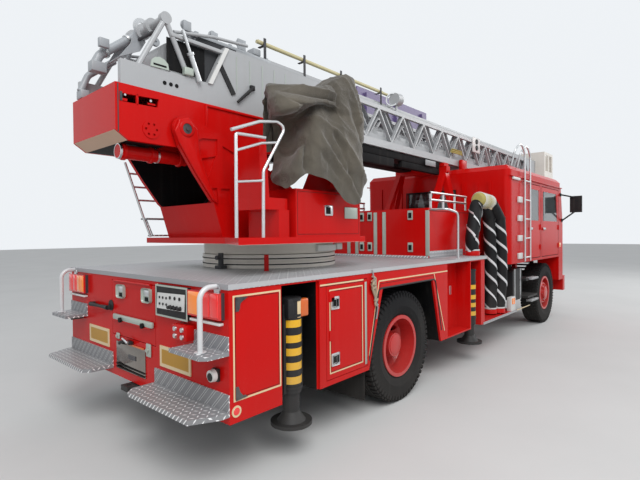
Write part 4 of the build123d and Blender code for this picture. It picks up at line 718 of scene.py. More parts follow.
# A thin dark line inside the locker's cream line is painted shadow.
handed("locker_body_{}", "locker_seam_{}", SEAM_AND_SHADOW,
       outlines=[(lengthways(-1240.4, 958, 1360, 539, 1160), 3, (0, -0.6, 0))])
for z in (1068, 630):
    handed("locker_body_{}", f"locker_latch_{{}}_{z}", BRIGHT, slot="bright_tube",
           blocks=[(958, 1058, -1246, -1240, z - 50, z + 50, 8)])
    # The latch cups are recesses filled with painted shade.
    handed("locker_body_{}", f"latch_cup_{{}}_{z}", PAINTED_SHADE,
           blocks=[(974, 1030, -1247, -1240, z - 34, z + 34, 10),
                   (1036, 1048, -1250, -1240, z - 30, z + 30, 3)])
paired("hinge_strips", SATIN, blocks=[(1398, 1432, -1246, -1240, 502, 1197, 3)])
paired("corner_brackets", IRON,
       plates=[(on_side(SKIN, (50, 1218), (148, 1212), (118, 1198), (88, 1178), (74, 1128), (50, 1128)),
                (0, -6, 0)),
               (on_side(SKIN, (46, 577), (140, 585), (100, 600), (78, 625), (66, 662), (46, 662)),
                (0, -6, 0))],
       rods=[((x, -1246, z), (x, -1250, z), 7)
             for x, z in ((62, 1205), (116, 1203), (74, 1150), (58, 590), (112, 594))])
paired("side_lamp_rims", CREAM, lathes=[(ring(24, 36, 0, -4), (50, -1240, 512), ACROSS, 28)])
paired("side_lamps", LAMP_RED, lathes=[(((0, 0), (26, 0), (22, -5), (0, -8)), (50, -1240, 512), ACROSS, 28)],
       slot="lamp_red")
paired("deck_lips", LIP_SILVER, blocks=[(-7, 4061, -1247.2, -1246, 1267, 1299)])
paired("arch_flares", BLACK,
       tubes=[(on_side(-1238, (1462, 520), (1612, 1118), (2668, 1118), (2800, 560)), 9, 60, 8)])
fixed("hanging_strap", SIGN_GREY,
      tubes=[([(1494, -1256, 1292), (1521, -1262, 1187), (1510, -1252, 1111), (1566, -1262, 961),
               (1556, -1252, 863)], 6, 30, 8)])
fixed("hanging_knots", KNOT_ROPE,
      tubes=[([(1500 + 9 * k, -1252, 1236 - 30 * k), (1560 - 6 * k, -1256, 1214 - 30 * k),
               (1536 + 4 * k, -1250, 1180 - 30 * k), (1490 + 12 * k, -1254, 1196 - 30 * k)], 9, 22, 8)
             for k in range(8)])
paired("mud_flaps", TYRE, blocks=[(1443, 1450, -1200, -640, 170, 470, 2, 1)])
paired("recess_latches", BRIGHT, blocks=[(3366, 3408, -1066, -1060, 862, 968, 6)])

# Rear face
fixed("rear_handle", PANEL_BLACK,
      rods=[((-34, 716, 999), (-34, 540, 999), 20, 20, 13), ((-34, 540, 999), (-34, 372, 999), 13, 20, 20)],
      blocks=[(-34, 0, 690, 716, 980, 1018, 6), (-34, 0, 366, 392, 980, 1018, 6)],
      lathes=[(ring(0, 45, -6, 0), (0, 375, 1016), ALONG, 28)])
piece("hatch", "hatch_latches", SATIN,
      blocks=[(-10, -1, 114, 242, 1095, 1205, 22, 4), (-10, -1, -312, -184, 1095, 1205, 22, 4),
              (-27, -1, -345, 300, 912, 960, 12)])
# The dishes of the latches are painted shade.
piece("hatch", "latch_dishes", PAINTED_SHADE,
      blocks=[(-11.5, -9, y, y + 56, 1106, 1138, 1.2) for y in (150, -276)],
      rods=[((-26, y, 922), (-44, y, 922), 20) for y in (145, -220)])
piece("hatch", "latch_levers", BRIGHT, blocks=[(-14, -10, y, y + 80, 1146, 1190, 3) for y in (138, -288)])
fixed("rear_opening", DULL_STEEL, blocks=[(-6, 0, -207, 280, 508, 733, 5)], slot="bright_tube")
fixed("rear_opening_latch", PANEL_BLACK, blocks=[(-40, -4, -20, 60, 742, 772, 8)],
      tubes=[([(-24, 60, 758), (-44, 120, 752), (-30, 170, 730), (-16, 200, 728)], 13, 60, 10)])
fixed("rear_opening_lever", BRIGHT, rods=[((-44, -10, 760), (-44, 90, 784), 12, 12, 7)])
# An orange strip along the opening, painted as a glow.
fixed("rear_opening_glow", ORANGE, blocks=[(-9, -2, -186, 77, 726, 740, 3)])
fixed("rear_opening_catches", SATIN,
      blocks=[(-14, 0, 214, 268, 753, 803, 8), (-14, 0, -297, -229, 689, 789, 8)],
      rods=[((-14, -263, 740), (-26, -263, 740), 16), ((-14, 241, 778), (-24, 241, 778), 12)])
# Two thin rods in the near-black painted-shade finish.
fixed("rear_rollers", PAINTED_SHADE, rods=[((-10, -200, z), (-10, 272, z), 5) for z in (522, 548)])
fixed("reflector_frames", CREAM,
      outlines=[(crossways(0, y0, y1, 655, 806), 24, (-7, 0, 0)) for y0, y1 in ((-827, -427), (417, 816))])
fixed("reflectors", REFLECTOR,
      blocks=[(-5, 0, y0, y1, 676, 785, 2, 1) for y0, y1 in ((-806, -448), (438, 795))])
fixed("panel_plate", CHALK,
      plates=[([(-38, -820, 1206), (-38, -470, 1196), (-34, -452, 1084), (-34, -806, 1090)], (-5, 0, 0))])
fixed("panel_knobs", PANEL_BLACK,
      rods=[((-40, y, 1108), (-66, y, 1108), 15, 16, 11) for y in (-640, -682, -724, -766)]
      + [((-43, y, z), (-46, y, z), 9) for y in (-500, -545, -590) for z in (1120, 1165)]
      + [((-43, y, 1172), (-46, y, 1172), 12) for y in (-640, -700, -760)])
fixed("panel_rim", SATIN, outlines=[(crossways(-30, -838, -427, 1028, 1252), 12, (-5, 0, 0))])
fixed("panel_tab", CREAM, blocks=[(-4, 0, -408, -390, 1170, 1250, 2)])
for word, amber_end in (("right", -990), ("left", -1003)):
    on_left = word == "left"
    fixed(f"lamp_amber_{word}", AMBER, blocks=[(-46, -30, amber_end, -859, 1088, 1238, 9, 3)], left=on_left)
    fixed(f"lamp_red_{word}", LAMP_RED, left=on_left, slot="lamp_red",
          blocks=[(-46, -30, y0, y1, 1088, 1238, 9, 3)
                  for y0, y1 in ((-1098, amber_end - 6), (-1192, -1104))])
handed("chassis", "lamp_strip_{}", CHALK, blocks=[(-34, 0, -1190, -862, 1043, 1060, 4)])
fixed("plug_box", RED_TRIM, blocks=[(-70, 0, -879, -706, 905, 1007, 8, 2)])
fixed("plug_caps", BRIGHT, slot="bright_tube",
      rods=[((-70, y, z), (-82, y, z), 17, 20, 15) for y in (-750, -836) for z in (932, 980)])
fixed("number_lamp", CHALK, rods=[((-26, -1118, 730), (-56, -1118, 730), 40, 28, 36)])
fixed("number_lamp_lens", PANEL_BLACK, rods=[((-56, -1118, 724), (-60, -1118, 724), 26, 24, 24)],
      blocks=[(-24, 0, -1150, -1086, 690, 770, 6)])
fixed("step_brackets", IRON,
      blocks=[(-110, -2, y, y + 12, 836, 866) for y in (960, -972)]
      + [(-150, -2, y, y + 14, 470, 492) for y in (520, 1060, -534, -1074)])
paired("grab_feet", BRIGHT, rods=[((0, -1130, 1262), (-8, -1130, 1262), 32, 24, 30)])

# Turntable: grooves and strap of the ring, fittings, box plate and latch
fixed("ring_grooves", SEAM_AND_SHADOW,
      lathes=[(ring(668, 672, z - 5, z + 5), (1460, 0, 0), UP, 96) for z in (1334, 1386)])
fixed("ring_strap", RED_TRIM,
      plates=[([(792, -668, 1300), (824, -684, 1300), (824, -684, 1436), (792, -668, 1436)], (0, -6, 0))])
fixed("ring_valve", IRON, blocks=[(700, 780, -190, -110, 1300, 1330, 6)],
      rods=[((740, -150, 1300), (740, -150, 1440), 24), ((740, -150, 1400), (690, -150, 1400), 20)])
turning("ring_fittings", CHALK,
        blocks=[(1440, 1700, -690, -640, 1440, 1500, 8), (1720, 1800, -690, -640, 1450, 1510, 8)])
turning("box_plate", SATIN, blocks=[(1440, 1626, -1004, -1000, 1736, 1836, 6)])
turning("box_latch", BRIGHT, blocks=[(1170, 1275, -1006, -1000, 1756, 1842, 8)], slot="bright_tube")
# The latch cup is a recess filled with painted shade.
turning("box_latch_cup", PAINTED_SHADE, blocks=[(1186, 1246, -1008, -1004, 1770, 1828, 1.5, 1)])
turning("box_seams", SEAM_AND_SHADOW, outlines=[(lengthways(-1000, 850, 1652, 1600, 1942), 3, (0, -1.2, 0))])
CHEEK_EASE = 0.009
cheek = bmesh.new()
plate(cheek, on_side(-420, (131, 2380), (168, 2300), (312, 2082), (462, 1884), (520, 1846), (500, 1880),
                     (420, 2040), (345, 2245), (330, 2420), (250, 2500), (170, 2470)), (0, -22, 0))
bmesh.ops.bevel(cheek, geom=cheek.edges[:], offset=CHEEK_EASE, segments=3, affect="EDGES", profile=0.5,
                material=-1)
mirrored(cheek)
finished("turntable", "cheek_straps", cheek, RED)
turning("pivot_bosses", RED_TRIM, both=True,
        lathes=[(((40, 0), (62, 0), (62, -26), (56, -30), (40, -30)), (233, -420, 2409), ACROSS, 40)])
turning("pivot_bolts", IRON, both=True,
        rods=[((233, -434.5, 2409), (233, -444, 2409), 41, 28),
              ((233, -444, 2409), (233, -456, 2409), 15, 6)])
turning("drain_hoses", HOSE,
        tubes=[([(700, -300, 1600), (700, -310, 1950), (800, -320, 2060), (900, -300, 1980)], 14, 70, 8),
               ([(760, -240, 1600), (760, -250, 1880), (860, -260, 2000), (940, -250, 1880)], 11, 70, 8),
               ([(760, 120, 1600), (760, 120, 1900), (880, 120, 2000), (980, 150, 1780)], 14, 70, 8)])
turning("table_boxes", IRON,
        blocks=[(900, 1250, -300, -40, 1580, 1800, 12), (1300, 1600, 60, 300, 1580, 1760, 12),
                (960, 1180, 60, 250, 1580, 1720, 10)])
station_rail = turning(
    "station_rail_tubes", BRIGHT, slot="bright_tube",
    tubes=[(on_side(-1008, (248, 1580), (250, 2291), (515, 2302)), 12, 16),
           (on_side(-1008, (213, 2311), (466, 2409), (631, 2438), (719, 2408), (495, 2061), (489, 1580)),
            12, 40),
           (on_side(-1008, (256, 2177), (481, 2258), (629, 2284)), 10, 40),
           (on_side(-1008, (250, 1962), (489, 1990)), 10, 40),
           (on_side(640, (258, 2279), (431, 1767), (500, 1590)), 12),
           (on_side(640, (545, 2279), (700, 1790), (770, 1590)), 12)],
    rods=[((x, 640, z), (x + 270, 640, z), 10, 12) for x, z in ((292, 2180), (333, 2058), (374, 1935))])
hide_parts("station_rail")
turning("ladder_foot_plates", ALUMINIUM, rods=[((431, 600, 1767), (500, 600, 1600), 6, 8)],
        blocks=[(430, 700, 575, 700, 1752, 1768, 4), (500, 770, 575, 700, 1592, 1608, 4)])

# Tail of the arm: seams, slots, flanges and a cylinder below
raised("tail_seams", IRON, both=True,
       blocks=[(-264, -256, -374, -372, 2320, 2652, 0.8, 1), (-250, -230, -378, -372, 2536, 2600, 3)])
raised("tail_slot_parts", RED, both=True,
       blocks=[(-128, -112, -372, -352, 2528, 2608, 2), (-226, -190, -366, -350, 2540, 2560, 3),
               (-40, 20, -366, -350, 2552, 2566, 3)])
raised("tail_slot_pins", BRIGHT, both=True,
       rods=[((-20, -372, 2580), (-20, -362, 2580), 9, 10), ((-208, -370, 2584), (-208, -360, 2584), 8, 10)])
raised("arm_flanges", RED, both=True,
       blocks=[(452, 1950, -386, -372, 2636, 2656, 3), (440, 456, -384, -372, 2424, 2656, 3)])
raised("tail_cylinder", RED, rods=[((-190, -200, 2216), (360, -200, 2216), 52, 24)],
       lathes=[(((52, -14), (62, -10), (62, 10), (52, 14)), (x, -200, 2216), ALONG, 28)
               for x in (-150, 60, 300)])
raised("tail_cylinder_rings", BRIGHT,
       lathes=[(ring(50, 56, -8, 8), (x, -200, 2216), ALONG, 28) for x in (-184, 110)])

# Tail of the ladder: waterway pipe, winch, beams, pulleys, straps, slanted bar, holes and poles
PIPE_SLOPE = (0.76, 0, 0.65)
raised("waterway_pipe", PIPE_GREY,
       tubes=[([(196, 150, 3310), (-160, 150, 3010), (-200, 150, 2930)], 34, 90, 18, 6),
              ([(20, 300, 3050), (-190, 300, 2880), (-250, 300, 2740)], 26, 90, 14),
              ([(250, 40, 3300), (60, 60, 3120), (-30, 60, 2860)], 15, 80)],
       blocks=[(-236, -120, 110, 190, 2870, 2950, 8), (-196, -120, 60, 100, 3050, 3120, 6),
               (-262, -200, 250, 350, 2680, 2750, 8), (-120, 40, -40, 40, 2700, 2780, 10)])
raised("waterway_caps", BRIGHT,
       lathes=[(((30, -14), (62, -14), (66, 0), (62, 14), (30, 14)), (178, 150, 3345), (0, 1, 0.2), 32),
               (ring(34, 42, -10, 10), (60, 150, 3195), PIPE_SLOPE, 28),
               (ring(34, 44, -10, 10), (-120, 150, 3042), PIPE_SLOPE, 28)])
raised("edge_plates", PIPE_GREY,
       plates=[(on_side(0, (-78, 2984), (95, 3076), (142, 3162), (120, 3190), (54, 3261), (20, 3120)),
                (0, 10, 0)),
               (on_side(200, (-90, 2960), (60, 3060), (120, 3180), (60, 3230)), (0, 8, 0))],
       rods=[((x, 10, z), (x, 200, z), 9, 10) for x, z in ((-60, 2990), (90, 3100))])
raised("winch_drum", IRON,
       lathes=[(((20, -150), (104, -150), (104, -138), (70, -134), (70, 134), (104, 138),
                 (104, 150), (20, 150)),
                (470, -60, 3112), ACROSS, 40),
               (((16, -20), (84, -20), (88, -8), (72, 0), (88, 8), (84, 20), (16, 20)),
                (235, -250, 3000), ACROSS, 36)])
raised("winch_rope", BRIGHT,
       lathes=[(ring(70, 75, y - 5, y + 5), (470, -60, 3112), ACROSS, 32) for y in range(-126, 132, 14)],
       rods=[((470, y, 3185), (820, y, 3262), 5, 8) for y in (-120, -40, 60)])
raised("top_rails", WHITE, blocks=[(150, 660, -376, -344, 3106, 3136, 5)], both=True,
       rods=[((184, -352, 3153), (541, -352, 3226), 13, 12), ((541, -352, 3226), (900, -352, 3262), 13, 12)])
# A dark sheet in the gap beside the winch, as painted shadow.
raised("winch_shade", PAINTED_SHADE, blocks=[(130, 466, -338, -334, 2860, 3104, 1, 1)])
raised("tail_beams", PIPE_GREY,
       blocks=[(380, 1240, y - 16, y + 16, 3210, 3246, 5) for y in (-270, -190, 190, 270)]
       + [(x, x + 34, -280, 280, 3240, 3262, 4) for x in (420, 760, 1180)])
PULLEY = ((8, -12), (36, -12), (39, -7), (31, 0), (39, 7), (36, 12), (8, 12))
raised("tail_pulleys", PIPE_GREY,
       lathes=[(PULLEY, centre, ACROSS, 28)
               for centre in ((345, -250, 3290), (620, -230, 3300), (905, -240, 3320), (345, 220, 3290),
                              (905, 220, 3320))],
       blocks=[(310, 380, -292, -268, 3230, 3310, 6), (585, 655, -266, -250, 3240, 3320, 6),
               (860, 950, -276, -258, 3250, 3345, 6), (1060, 1150, -250, -150, 3270, 3330, 10)])
raised("diagonal_jack", BRIGHT, lathes=[(ring(21, 30, -10, 10), (302, -392, 3005), (0.37, 0, -0.93), 20)],
       rods=[((236, -392, 3170), (300, -392, 3010), 13, 14), ((300, -392, 3010), (380, -392, 2812), 21)])
raised("pipe_stays", IRON, tubes=[([(60, -330, 3130), (90, 60, 3170), (100, 150, 3200)], 13, 40, 10)])
# The holes are discs of painted shade.
raised("base_holes", PAINTED_SHADE, both=True,
       rods=[((x, -371, 2738), (x, -375, 2738), 15, 20) for x in (91, 142, 191)])
raised("slanted_bar", CHALK,
       plates=[(on_side(-376, (470, 2826), (508, 2826), (676, 3160), (640, 3160)), (0, -12, 0))])
raised("side_straps", PANEL_BLACK, blocks=[(900, 950, -400, -372, 2870, 2915, 8)],
       plates=[(on_side(-373, (560, 3010), (600, 3030), (748, 2800), (706, 2780)), (0, -9, 0))],
       rods=[((930, -392, 2893), (759, -392, 2734), 15, 14, 12)])
raised("sheet_seams", SATIN,
       plates=[(lengthways(-373, x, x + 7, 2835, 3125), (0, -2, 0)) for x in (760, 905, 1050, 1195, 1340)])
raised("guard_disc", SATIN,
       plates=[(on_side(-372, (-22, 2834), (125, 2836), (118, 2880), (90, 2906), (51, 2917), (12, 2906),
                        (-14, 2880)), (0, -8, 0))])
# The slot is a strip of painted shade.
raised("guard_slot", PAINTED_SHADE, blocks=[(0, 104, -382, -379, 2848, 2862, 1, 1)])
raised("leg_clamp", SATIN, blocks=[(250, 330, -396, -350, 2840, 2900, 8)])
raised("store_poles", POLE,
       rods=[((1095, -250, 3395), (3300, -250, 3395), 17, 14),
             ((1140, -215, 3420), (3240, -215, 3420), 17, 14)])
raised("store_hooks", IRON,
       blocks=[(x, x + 30, *rest) for x in (1160, 1700, 2300, 3100)
               for rest in ((-274, -190, 3370, 3378, 2), (-280, -272, 3200, 3440, 2))])
# Dark blocks along the ladder's underside, as painted shade.
raised("ladder_belly", PAINTED_SHADE,
       blocks=[(1960, 4560, -350, -120, 2560, 2655, 12), (1960, 3300, -352, -300, 2450, 2560, 10),
               (3500, 4560, -345, -280, 2470, 2560, 10), (1960, 4560, 120, 350, 2560, 2655, 12)])

# Mid body: latches and strips of the locker, rails, suction hoses with wound bands, strainer
fixed("locker_strips", SATIN,
      blocks=[(3152, 3160, y - 26, y + 26, 1332, 1872, 6) for y in (-150, -284, -892, 150, 284, 880)])
LATCH_SPOTS = [(y, z) for y in (-662, 64, 662, -64) for z in (1820, 1430)]
fixed("locker_back_latches", SATIN,
      blocks=[(3146, 3160, y - 36, y + 36, z - 58, z + 58, 8) for y, z in LATCH_SPOTS])
# The latch cups are recesses filled with painted shade.
fixed("locker_back_cups", PAINTED_SHADE,
      blocks=[(3143, 3147, y - 22, y + 22, z - 36, z + 30, 1.5, 1) for y, z in LATCH_SPOTS])
paired("roof_rails", BRIGHT, tubes=[([(3280, -860, z), (4320, -860, z)], 15.5) for z in (2004, 2092)],
       rods=[((x, -860, 1900), (x, -860, 2092), 15, 12) for x in (3296, 3630, 3960, 4300)])
fixed("locker_kick", ALUMINIUM,
      blocks=[(3150, 3160, -900, 900, 1302, 1328, 2), (3180, 4100, -908, -900, 1302, 1385, 1),
              (3180, 4100, 900, 908, 1302, 1385, 1), (3160, 4060, -1236, -904, 1300.5, 1304, 1),
              (3160, 4060, 904, 1236, 1300.5, 1304, 1)])
paired("side_grab_tubes", BRIGHT, slot="bright_tube",
       tubes=[([(3200, -902, 1878), (3200, -1130, 1878), (3420, -1150, 1840), (3420, -1150, 1300)], 14)])
paired("locker_roof_seams", SEAM_AND_SHADOW,
       outlines=[(lengthways(-902, 3180, 4830, 1330, 1870), 4, (0, -1.5, 0)),
                 (lengthways(-902, 4010, 4000, 1335, 1865), 3, (0, -1.5, 0))])
SUCTION_LINES = (
    ((3996, -1086, 1310), (3974, -1086, 1532), (4080, -1080, 1793), (4180, -1060, 1960), (4290, -1040, 2000)),
    ((4600, -1080, 480), (4690, -1064, 856), (4702, -1052, 1300), (4650, -1050, 1800), (4480, -1040, 1990)),
    ((4745, -1140, 480), (4832, -1152, 900), (4836, -1154, 1350), (4780, -1146, 1800), (4600, -1110, 1990)),
)
HOSE_RADIUS = 82
BAND_WIDTH, BAND_PITCH, BAND_LIFT = 44, 470, 1.5


def wound_band(mesh, start, end, phase):
    """A band painted round a straight length of hose as a helix; gives the phase at its end."""
    along = (end - start).normalized()
    side = along.orthogonal().normalized()
    turns = (end - start).length / (BAND_PITCH / 1000)
    steps = max(2, round(turns * 20))
    out = Matrix.Rotation(phase, 3, along) @ side
    foot = start + out * (HOSE_RADIUS + BAND_LIFT) / 1000
    edge = bmesh.ops.create_circle(mesh, cap_ends=True, segments=8, radius=BAND_WIDTH / 2000,
                                   matrix=Matrix.Translation(foot) @ turned(along.cross(out))
                                   @ Matrix.Diagonal((0.10, 1.0, 1.0, 1.0)))["verts"]
    bmesh.ops.spin(mesh, geom=edge + ring_edges(edge), cent=start, axis=along, dvec=(end - start) / steps,
                   angle=-math.tau * turns, steps=steps)
    return phase - math.tau * turns


hose_mesh, band_mesh = bmesh.new(), bmesh.new()
for line in SUCTION_LINES:
    tube(hose_mesh, line, HOSE_RADIUS, 160, 28, 10)
    for phase in (0.0, math.pi):
        for low, high in zip(line[:3], line[1:4]):
            phase = wound_band(band_mesh, at(*low), at(*high), phase)
hoses = finished("chassis", "suction_hose_lines", hose_mesh, HOSE, 60)
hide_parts("suction_hoses")
finished("chassis", "hose_bands", band_mesh, HOSE_WHITE)
fixed("hose_feet", RED_TRIM,
      lathes=[(((60, -4), (92, -4), (92, 40), (86, 56), (60, 56)), line[0], UP, 32)
              for line in SUCTION_LINES])
fixed("hose_rings", CHALK, lathes=[(ring(60, 88, 60, 76), line[0], UP, 32) for line in SUCTION_LINES])
BASKET_END, BASKET_AXIS = (4170, -1075, 2045), (1, 0, -0.06)
fixed("strainer_basket", WICKER, slot="hose_rubber",
      lathes=[(((0, 0), (70, 8), (98, 60), (104, 240), (98, 420), (76, 500), (0, 520)),
               BASKET_END, BASKET_AXIS)])
fixed("strainer_net", HOSE_WHITE,
      lathes=[(((97, reach), (107, reach + 3), (97, reach + 7)), BASKET_END, BASKET_AXIS, 24)
              for reach in range(70, 430, 34)])
fixed("strainer_cap", CREAM,
      lathes=[(((0, 0), (80, 6), (90, 60), (86, 150), (60, 180), (0, 190)), (4480, -1060, 1990),
               (1, 0, -0.2), 28)])
fixed("marker_box", CHALK, blocks=[(5000, 5180, -1242, -1170, 440, 660, 14, 3)])
fixed("marker_lens", AMBER, blocks=[(5015, 5120, -1247, -1240, 560, 645, 10, 3)])
fixed("platform_edge", ALUMINIUM, blocks=[(3960, 5230, -1243, -1240, 430, 462)])
paired("sill_line", CREAM, blocks=[(5240, 5860, -1240, -1226, 440, 452, 2)])

# On the ladder ahead of the locker
raised("ladder_label", SIGN_GREY, blocks=[(4075, 4374, -382, -372, 2560, 2640, 4)])
piece("second_section", "blank_plate", SIGN_GREY, blocks=[(7380, 8150, -332, -324, 3030, 3170, 4)])
raised("twin_lamp_plate", CHALK, blocks=[(5700, 6000, -386, -372, 2960, 3210, 12)])
raised("twin_lamps", PANEL_BLACK, rods=[((5850, -386, z), (5850, -402, z), 46, 28, 40) for z in (3040, 3144)])
raised("rest_box", RED_TRIM, blocks=[(5150, 5340, -440, -380, 2585, 2757, 14, 2)])
raised("stowed_straps", WICKER,
       rods=[((4830 + 6 * k, -410 + 9 * (k % 3), 2836 + 9 * k),
              (5230 - 4 * k, -404 + 8 * (k % 2), 2838 + 9 * k), 9, 8)
             for k in range(7)])
raised("searchlight_rim", BRIGHT, lathes=[(ring(70, 84, 0, 26), (3300, -330, 3315), (-1, -0.4, 0))])

# Cab: gaskets, seams, handles, roof ladder hoops, lamps and steps
paired("cab_seams", SEAM_AND_SHADOW,
       outlines=[(lengthways(-1236, x0, x1, 1180, 2375), 4, (0, -1, 0))
                 for x0, x1 in ((5796, 6432), (6516, 7572))])
paired("cab_gutters", RED_TRIM, blocks=[(4952, 7740, -1262, -1235, 2412, 2428, 5)])
paired("gutter_lamps", CHALK, blocks=[(5040, 5330, -1268, -1236, 2370, 2408, 8, 3)])
fixed("rear_wall_ribs", RED,
      blocks=[(4922, 4934, y - 22, y + 22, 1300, 1820, 8) for y in (-900, -700, -500, 500, 700, 900)]
      + [(4924, 4934, -1120, 1120, 1840, 1862, 6)])
fixed("rear_pane_gasket", SEAM_AND_SHADOW, outlines=[(crossways(4930, -436, 436, 1866, 2264), 18, (-6, 0, 0))])
fixed("roof_ladder_hoops", BRIGHT, slot="bright_tube",
      tubes=[([(x, -1280, 2560), (x, -1280, 2790), (x - 140, -1275, 2940), (x - 300, -1240, 2820),
               (x - 300, -1180, 2585)], 15, 110) for x in (5480, 5740)])
fixed("ladder_plates", CHALK,
      blocks=[(5270, 5450, -1262, -1236, z - 44, z + 44, 4) for z in (2090, 1812, 1513, 1248)])
paired("entry_treads", ALUMINIUM, blocks=[(5950, 6300, -1243, -1150, z, z + 34, 4) for z in (486, 836)])
for end, low, high in (("rear", 5815, 6413), ("front", 6640, 7520)):
    handed(end + "_door_body_{}", end + "_pane_{}", GLASS, slot="window_glass",
           blocks=[(low, high, -1232, -1226, 1780, 2296, 1, 1)])
paired("door_handles", BRIGHT,
       blocks=[(5836, 5960, -1258, -1246, 1640, 1676, 6), (6556, 6690, -1258, -1246, 1640, 1676, 6)])
paired("corner_amber", AMBER, blocks=[(7560, 7700, -1252, -1235, 1320, 1400, 14, 3)])
BEACONS = ((7000, -850, 2585), (7000, 850, 2585))
fixed("beacon_domes", LAMP_RED, slot="lamp_red",
      lathes=[(((0, 0), (72, 0), (74, 40), (64, 84), (36, 104), (0, 110)), centre, UP, 40)
              for centre in BEACONS])
fixed("beacon_bases", BRIGHT,
      lathes=[(((0, 0), (88, 0), (86, 22), (0, 24)), centre, UP, 40) for centre in BEACONS])
fixed("wipers", PANEL_BLACK,
      rods=[((7892, y, 1800), (7858, y - 420, 1900), 8, 8, 5) for y in (-120, 640)]
      + [((7872, y - 700, 1860), (7880, y - 180, 1852), 6, 6) for y in (-120, 640)])
fixed("lamp_reflectors", BRIGHT, lathes=[(ring(70, 86, -4, 3), (8125, y, 620), ALONG) for y in (-930, 930)])
paired("tank_straps", BRIGHT,
       blocks=[(x, x + 30, *rest) for x in (5400, 5650)
               for rest in ((-1154, -430, 556, 560), (-1154, -1150, 560, 1040))])


# Canvas cover: a net of fold lines laid over the console and seat, rounded and wrinkled;
# rows from the inner hem over the top to the outer hem, each point a station (x, y, z)
COVER_NET = (
    ((850, -650, 2330), (800, -640, 2300), (830, -630, 2280), (900, -620, 2300), (980, -620, 2310),
     (1080, -615, 2330), (1190, -615, 2320), (1310, -615, 2330), (1430, -620, 2330), (1540, -620, 2330),
     (1600, -640, 2340)),
    ((835, -670, 2790), (800, -660, 2795), (840, -660, 2785), (890, -665, 2760), (960, -670, 2750),
     (1070, -670, 2780), (1200, -670, 2860), (1340, -670, 2950), (1450, -670, 2985), (1540, -670, 2985),
     (1550, -670, 2980)),
    ((830, -690, 2800), (710, -800, 2820), (750, -860, 2805), (820, -950, 2780), (910, -1020, 2775),
     (1055, -1040, 2810), (1225, -1050, 2890), (1375, -1050, 2990), (1445, -1080, 3010), (1565, -1070, 3005),
     (1560, -670, 2990)),
    ((820, -690, 2720), (670, -840, 2745), (675, -930, 2715), (730, -1030, 2685), (835, -1080, 2690),
     (1010, -1080, 2740), (1160, -1100, 2810), (1265, -1130, 2875), (1450, -1100, 2935), (1560, -1090, 2930),
     (1555, -670, 2915)),
    ((820, -690, 2640), (640, -880, 2675), (625, -1000, 2615), (670, -1100, 2580), (790, -1130, 2605),
     (965, -1130, 2660), (1145, -1120, 2715), (1235, -1160, 2760), (1425, -1140, 2800), (1575, -1100, 2815),
     (1570, -670, 2800)),
    ((830, -690, 2520), (670, -920, 2495), (660, -1020, 2455), (710, -1100, 2480), (810, -1130, 2550),
     (925, -1130, 2605), (1100, -1130, 2635), (1180, -1170, 2610), (1425, -1160, 2665), (1590, -1110, 2700),
     (1585, -670, 2685)),
    ((850, -690, 2530), (795, -800, 2570), (845, -850, 2555), (895, -930, 2585), (995, -970, 2635),
     (1060, -1000, 2660), (1195, -1040, 2675), (1235, -1130, 2565), (1440, -1160, 2595), (1610, -1110, 2630),
     (1605, -670, 2615)),
    ((900, -690, 2500), (1060, -800, 2555), (1060, -860, 2580), (1050, -930, 2605), (1015, -1020, 2620),
     (985, -1080, 2615), (1155, -1080, 2570), (1215, -1160, 2490), (1440, -1170, 2525), (1615, -1120, 2555),
     (1610, -670, 2540)),
    ((880, -690, 2280), (905, -820, 2290), (890, -920, 2300), (845, -1040, 2295), (925, -1050, 2330),
     (950, -1150, 2315), (1160, -1130, 2310), (1270, -1170, 2280), (1440, -1180, 2300), (1640, -1130, 2365),
     (1635, -670, 2350)),
    ((840, -700, 2010), (750, -930, 1985), (745, -970, 1940), (800, -1100, 2030), (880, -1060, 2085),
     (945, -1130, 2045), (1125, -1130, 2040), (1220, -1160, 1855), (1460, -1170, 1820), (1595, -1140, 2065),
     (1590, -670, 2050)),
)
COVER_CUTS = 4
FOLD_APEX = (927, 2600)
# Heights (mm) of the fan of folds, the swags, the creases and the grain, and how far all sinks
FAN, SWAG, CREASE, GRAIN, SINK = 9.9, 5.0, 9.0, 2.2, 6.0
FOLD_DEPTH, FOLD_START, FOLD_GAIN = 1.5, 0.35, 1.6
# Ridges (height above 0) and valleys of the cloth: (x, z) of both ends, height, width
COVER_FOLDS = (
    ((925, 2590), (800, 2060), 26, 44), ((915, 2500), (872, 2120), -34, 20),
    ((905, 2560), (740, 2000), -16, 34), ((1010, 2380), (1430, 1880), 26, 30),
    ((1060, 2380), (1500, 1860), -22, 26), ((1120, 2480), (1580, 2030), 24, 30),
    ((1110, 2520), (1330, 2100), -20, 24), ((935, 2560), (1180, 2440), 18, 26),
    ((950, 2300), (1180, 2080), -14, 30), ((1200, 2960), (1190, 2640), -26, 24),
    ((1290, 2960), (1480, 2560), 20, 26), ((1340, 2700), (1560, 2300), -20, 24),
    ((1400, 2960), (1590, 2420), 18, 24), ((650, 2740), (1180, 2740), 22, 26),
    ((700, 2690), (1150, 2690), -22, 20), ((700, 2610), (900, 2560), -14, 16),
    ((1230, 2550), (1300, 2000), 16, 30),
)


def smooth_step(value, low, high):
    share = min(1.0, max(0.0, (value - low) / (high - low)))
    return share * share * (3 - 2 * share)


def fold_lift(x, z):
    total = 0.0
    for (x0, z0), (x1, z1), height, width in COVER_FOLDS:
        run_x, run_z = x1 - x0, z1 - z0
        share = ((x - x0) * run_x + (z - z0) * run_z) / (run_x ** 2 + run_z ** 2)
        held = min(1.0, max(0.0, share))
        gap = math.hypot(x - x0 - run_x * held, z - z0 - run_z * held)
        total += FOLD_DEPTH * height * math.exp(-gap / width) * min(1.0, FOLD_START + held * FOLD_GAIN)
    return total


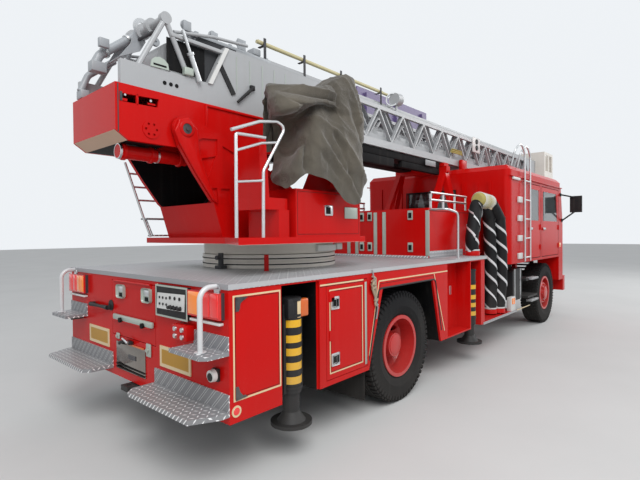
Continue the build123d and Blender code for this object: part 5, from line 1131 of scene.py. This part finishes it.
def wrinkle(spot):
    """How far (mm) the cloth stands out: folds, a fan below their apex, swags above it, fine creases."""
    x, z = spot.x * 1000 + MID_X, spot.z * 1000
    dx, drop = x - FOLD_APEX[0], FOLD_APEX[1] - z
    angle, reach = math.atan2(dx, max(drop, 1.0)), math.hypot(dx, drop)
    bent = noise_3d.noise(spot * 2.2) * 1.2
    fan = (1 - abs(math.sin(angle * 7.5 + bent))) ** 2 * FAN * smooth_step(reach, 60, 420)
    fan *= smooth_step(drop, -40, 120)
    swag = (1 - abs(math.sin((z - 0.12 * abs(x - 1000)) / 52 + bent))) ** 2 * SWAG
    swag *= smooth_step(drop, 60, -80)
    crease = (1 - abs(noise_3d.noise(spot * 7.0 + Vector((3, 1, 5))))) ** 6 * CREASE
    return fold_lift(x, z) + fan + swag + crease + noise_3d.noise(spot * 22.0) * GRAIN - SINK


def rounded(mesh, cuts):
    """Catmull-Clark rounding of a net, as a new bmesh."""
    data = bpy.data.meshes.new("rounding")
    mesh.to_mesh(data)
    mesh.free()
    holder = bpy.data.objects.new("rounding", data)
    bpy.context.scene.collection.objects.link(holder)
    step = holder.modifiers.new("round", "SUBSURF")
    step.levels = step.render_levels = cuts
    bpy.context.view_layer.update()
    made = bmesh.new()
    made.from_mesh(holder.evaluated_get(bpy.context.evaluated_depsgraph_get()).to_mesh())
    bpy.data.objects.remove(holder, do_unlink=True)
    bpy.data.meshes.remove(data)
    return made


def canvas_cover():
    net = bmesh.new()
    bmesh.ops.create_grid(net, x_segments=len(COVER_NET[0]) - 1, y_segments=len(COVER_NET) - 1, size=1.0)
    order = sorted(net.verts, key=lambda vert: (round(vert.co.y, 4), round(vert.co.x, 4)))
    for vert, point in zip(order, (point for row in COVER_NET for point in row)):
        vert.co = at(*point)
    cloth = rounded(net, COVER_CUTS)
    cloth.normal_update()
    outward = 1 if sum(face.normal.y * face.calc_area() for face in cloth.faces) < 0 else -1
    shifts = [vert.normal * (outward * wrinkle(vert.co) / 1000) for vert in cloth.verts]
    for vert, shift in zip(cloth.verts, shifts):
        vert.co += shift
    cover = finished("turntable", "canvas_cover", cloth, CANVAS, 180)
    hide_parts("tarpaulin")


canvas_cover()


def floor_finish():
    material, tree, surface = new_material("pale_floor", {"Roughness": 0.9})
    tone = position(tree)[0].noise(0.6, 4).band(0.3, 0.7)
    give(surface.inputs["Base Color"], tone.blend((0.60, 0.60, 0.59, 1), (0.64, 0.64, 0.63, 1)))
    return material


def make_floor():
    mesh = bmesh.new()
    bmesh.ops.create_grid(mesh, x_segments=1, y_segments=1, size=60)
    finished(None, "studio_floor", mesh, floor_finish())


make_floor()
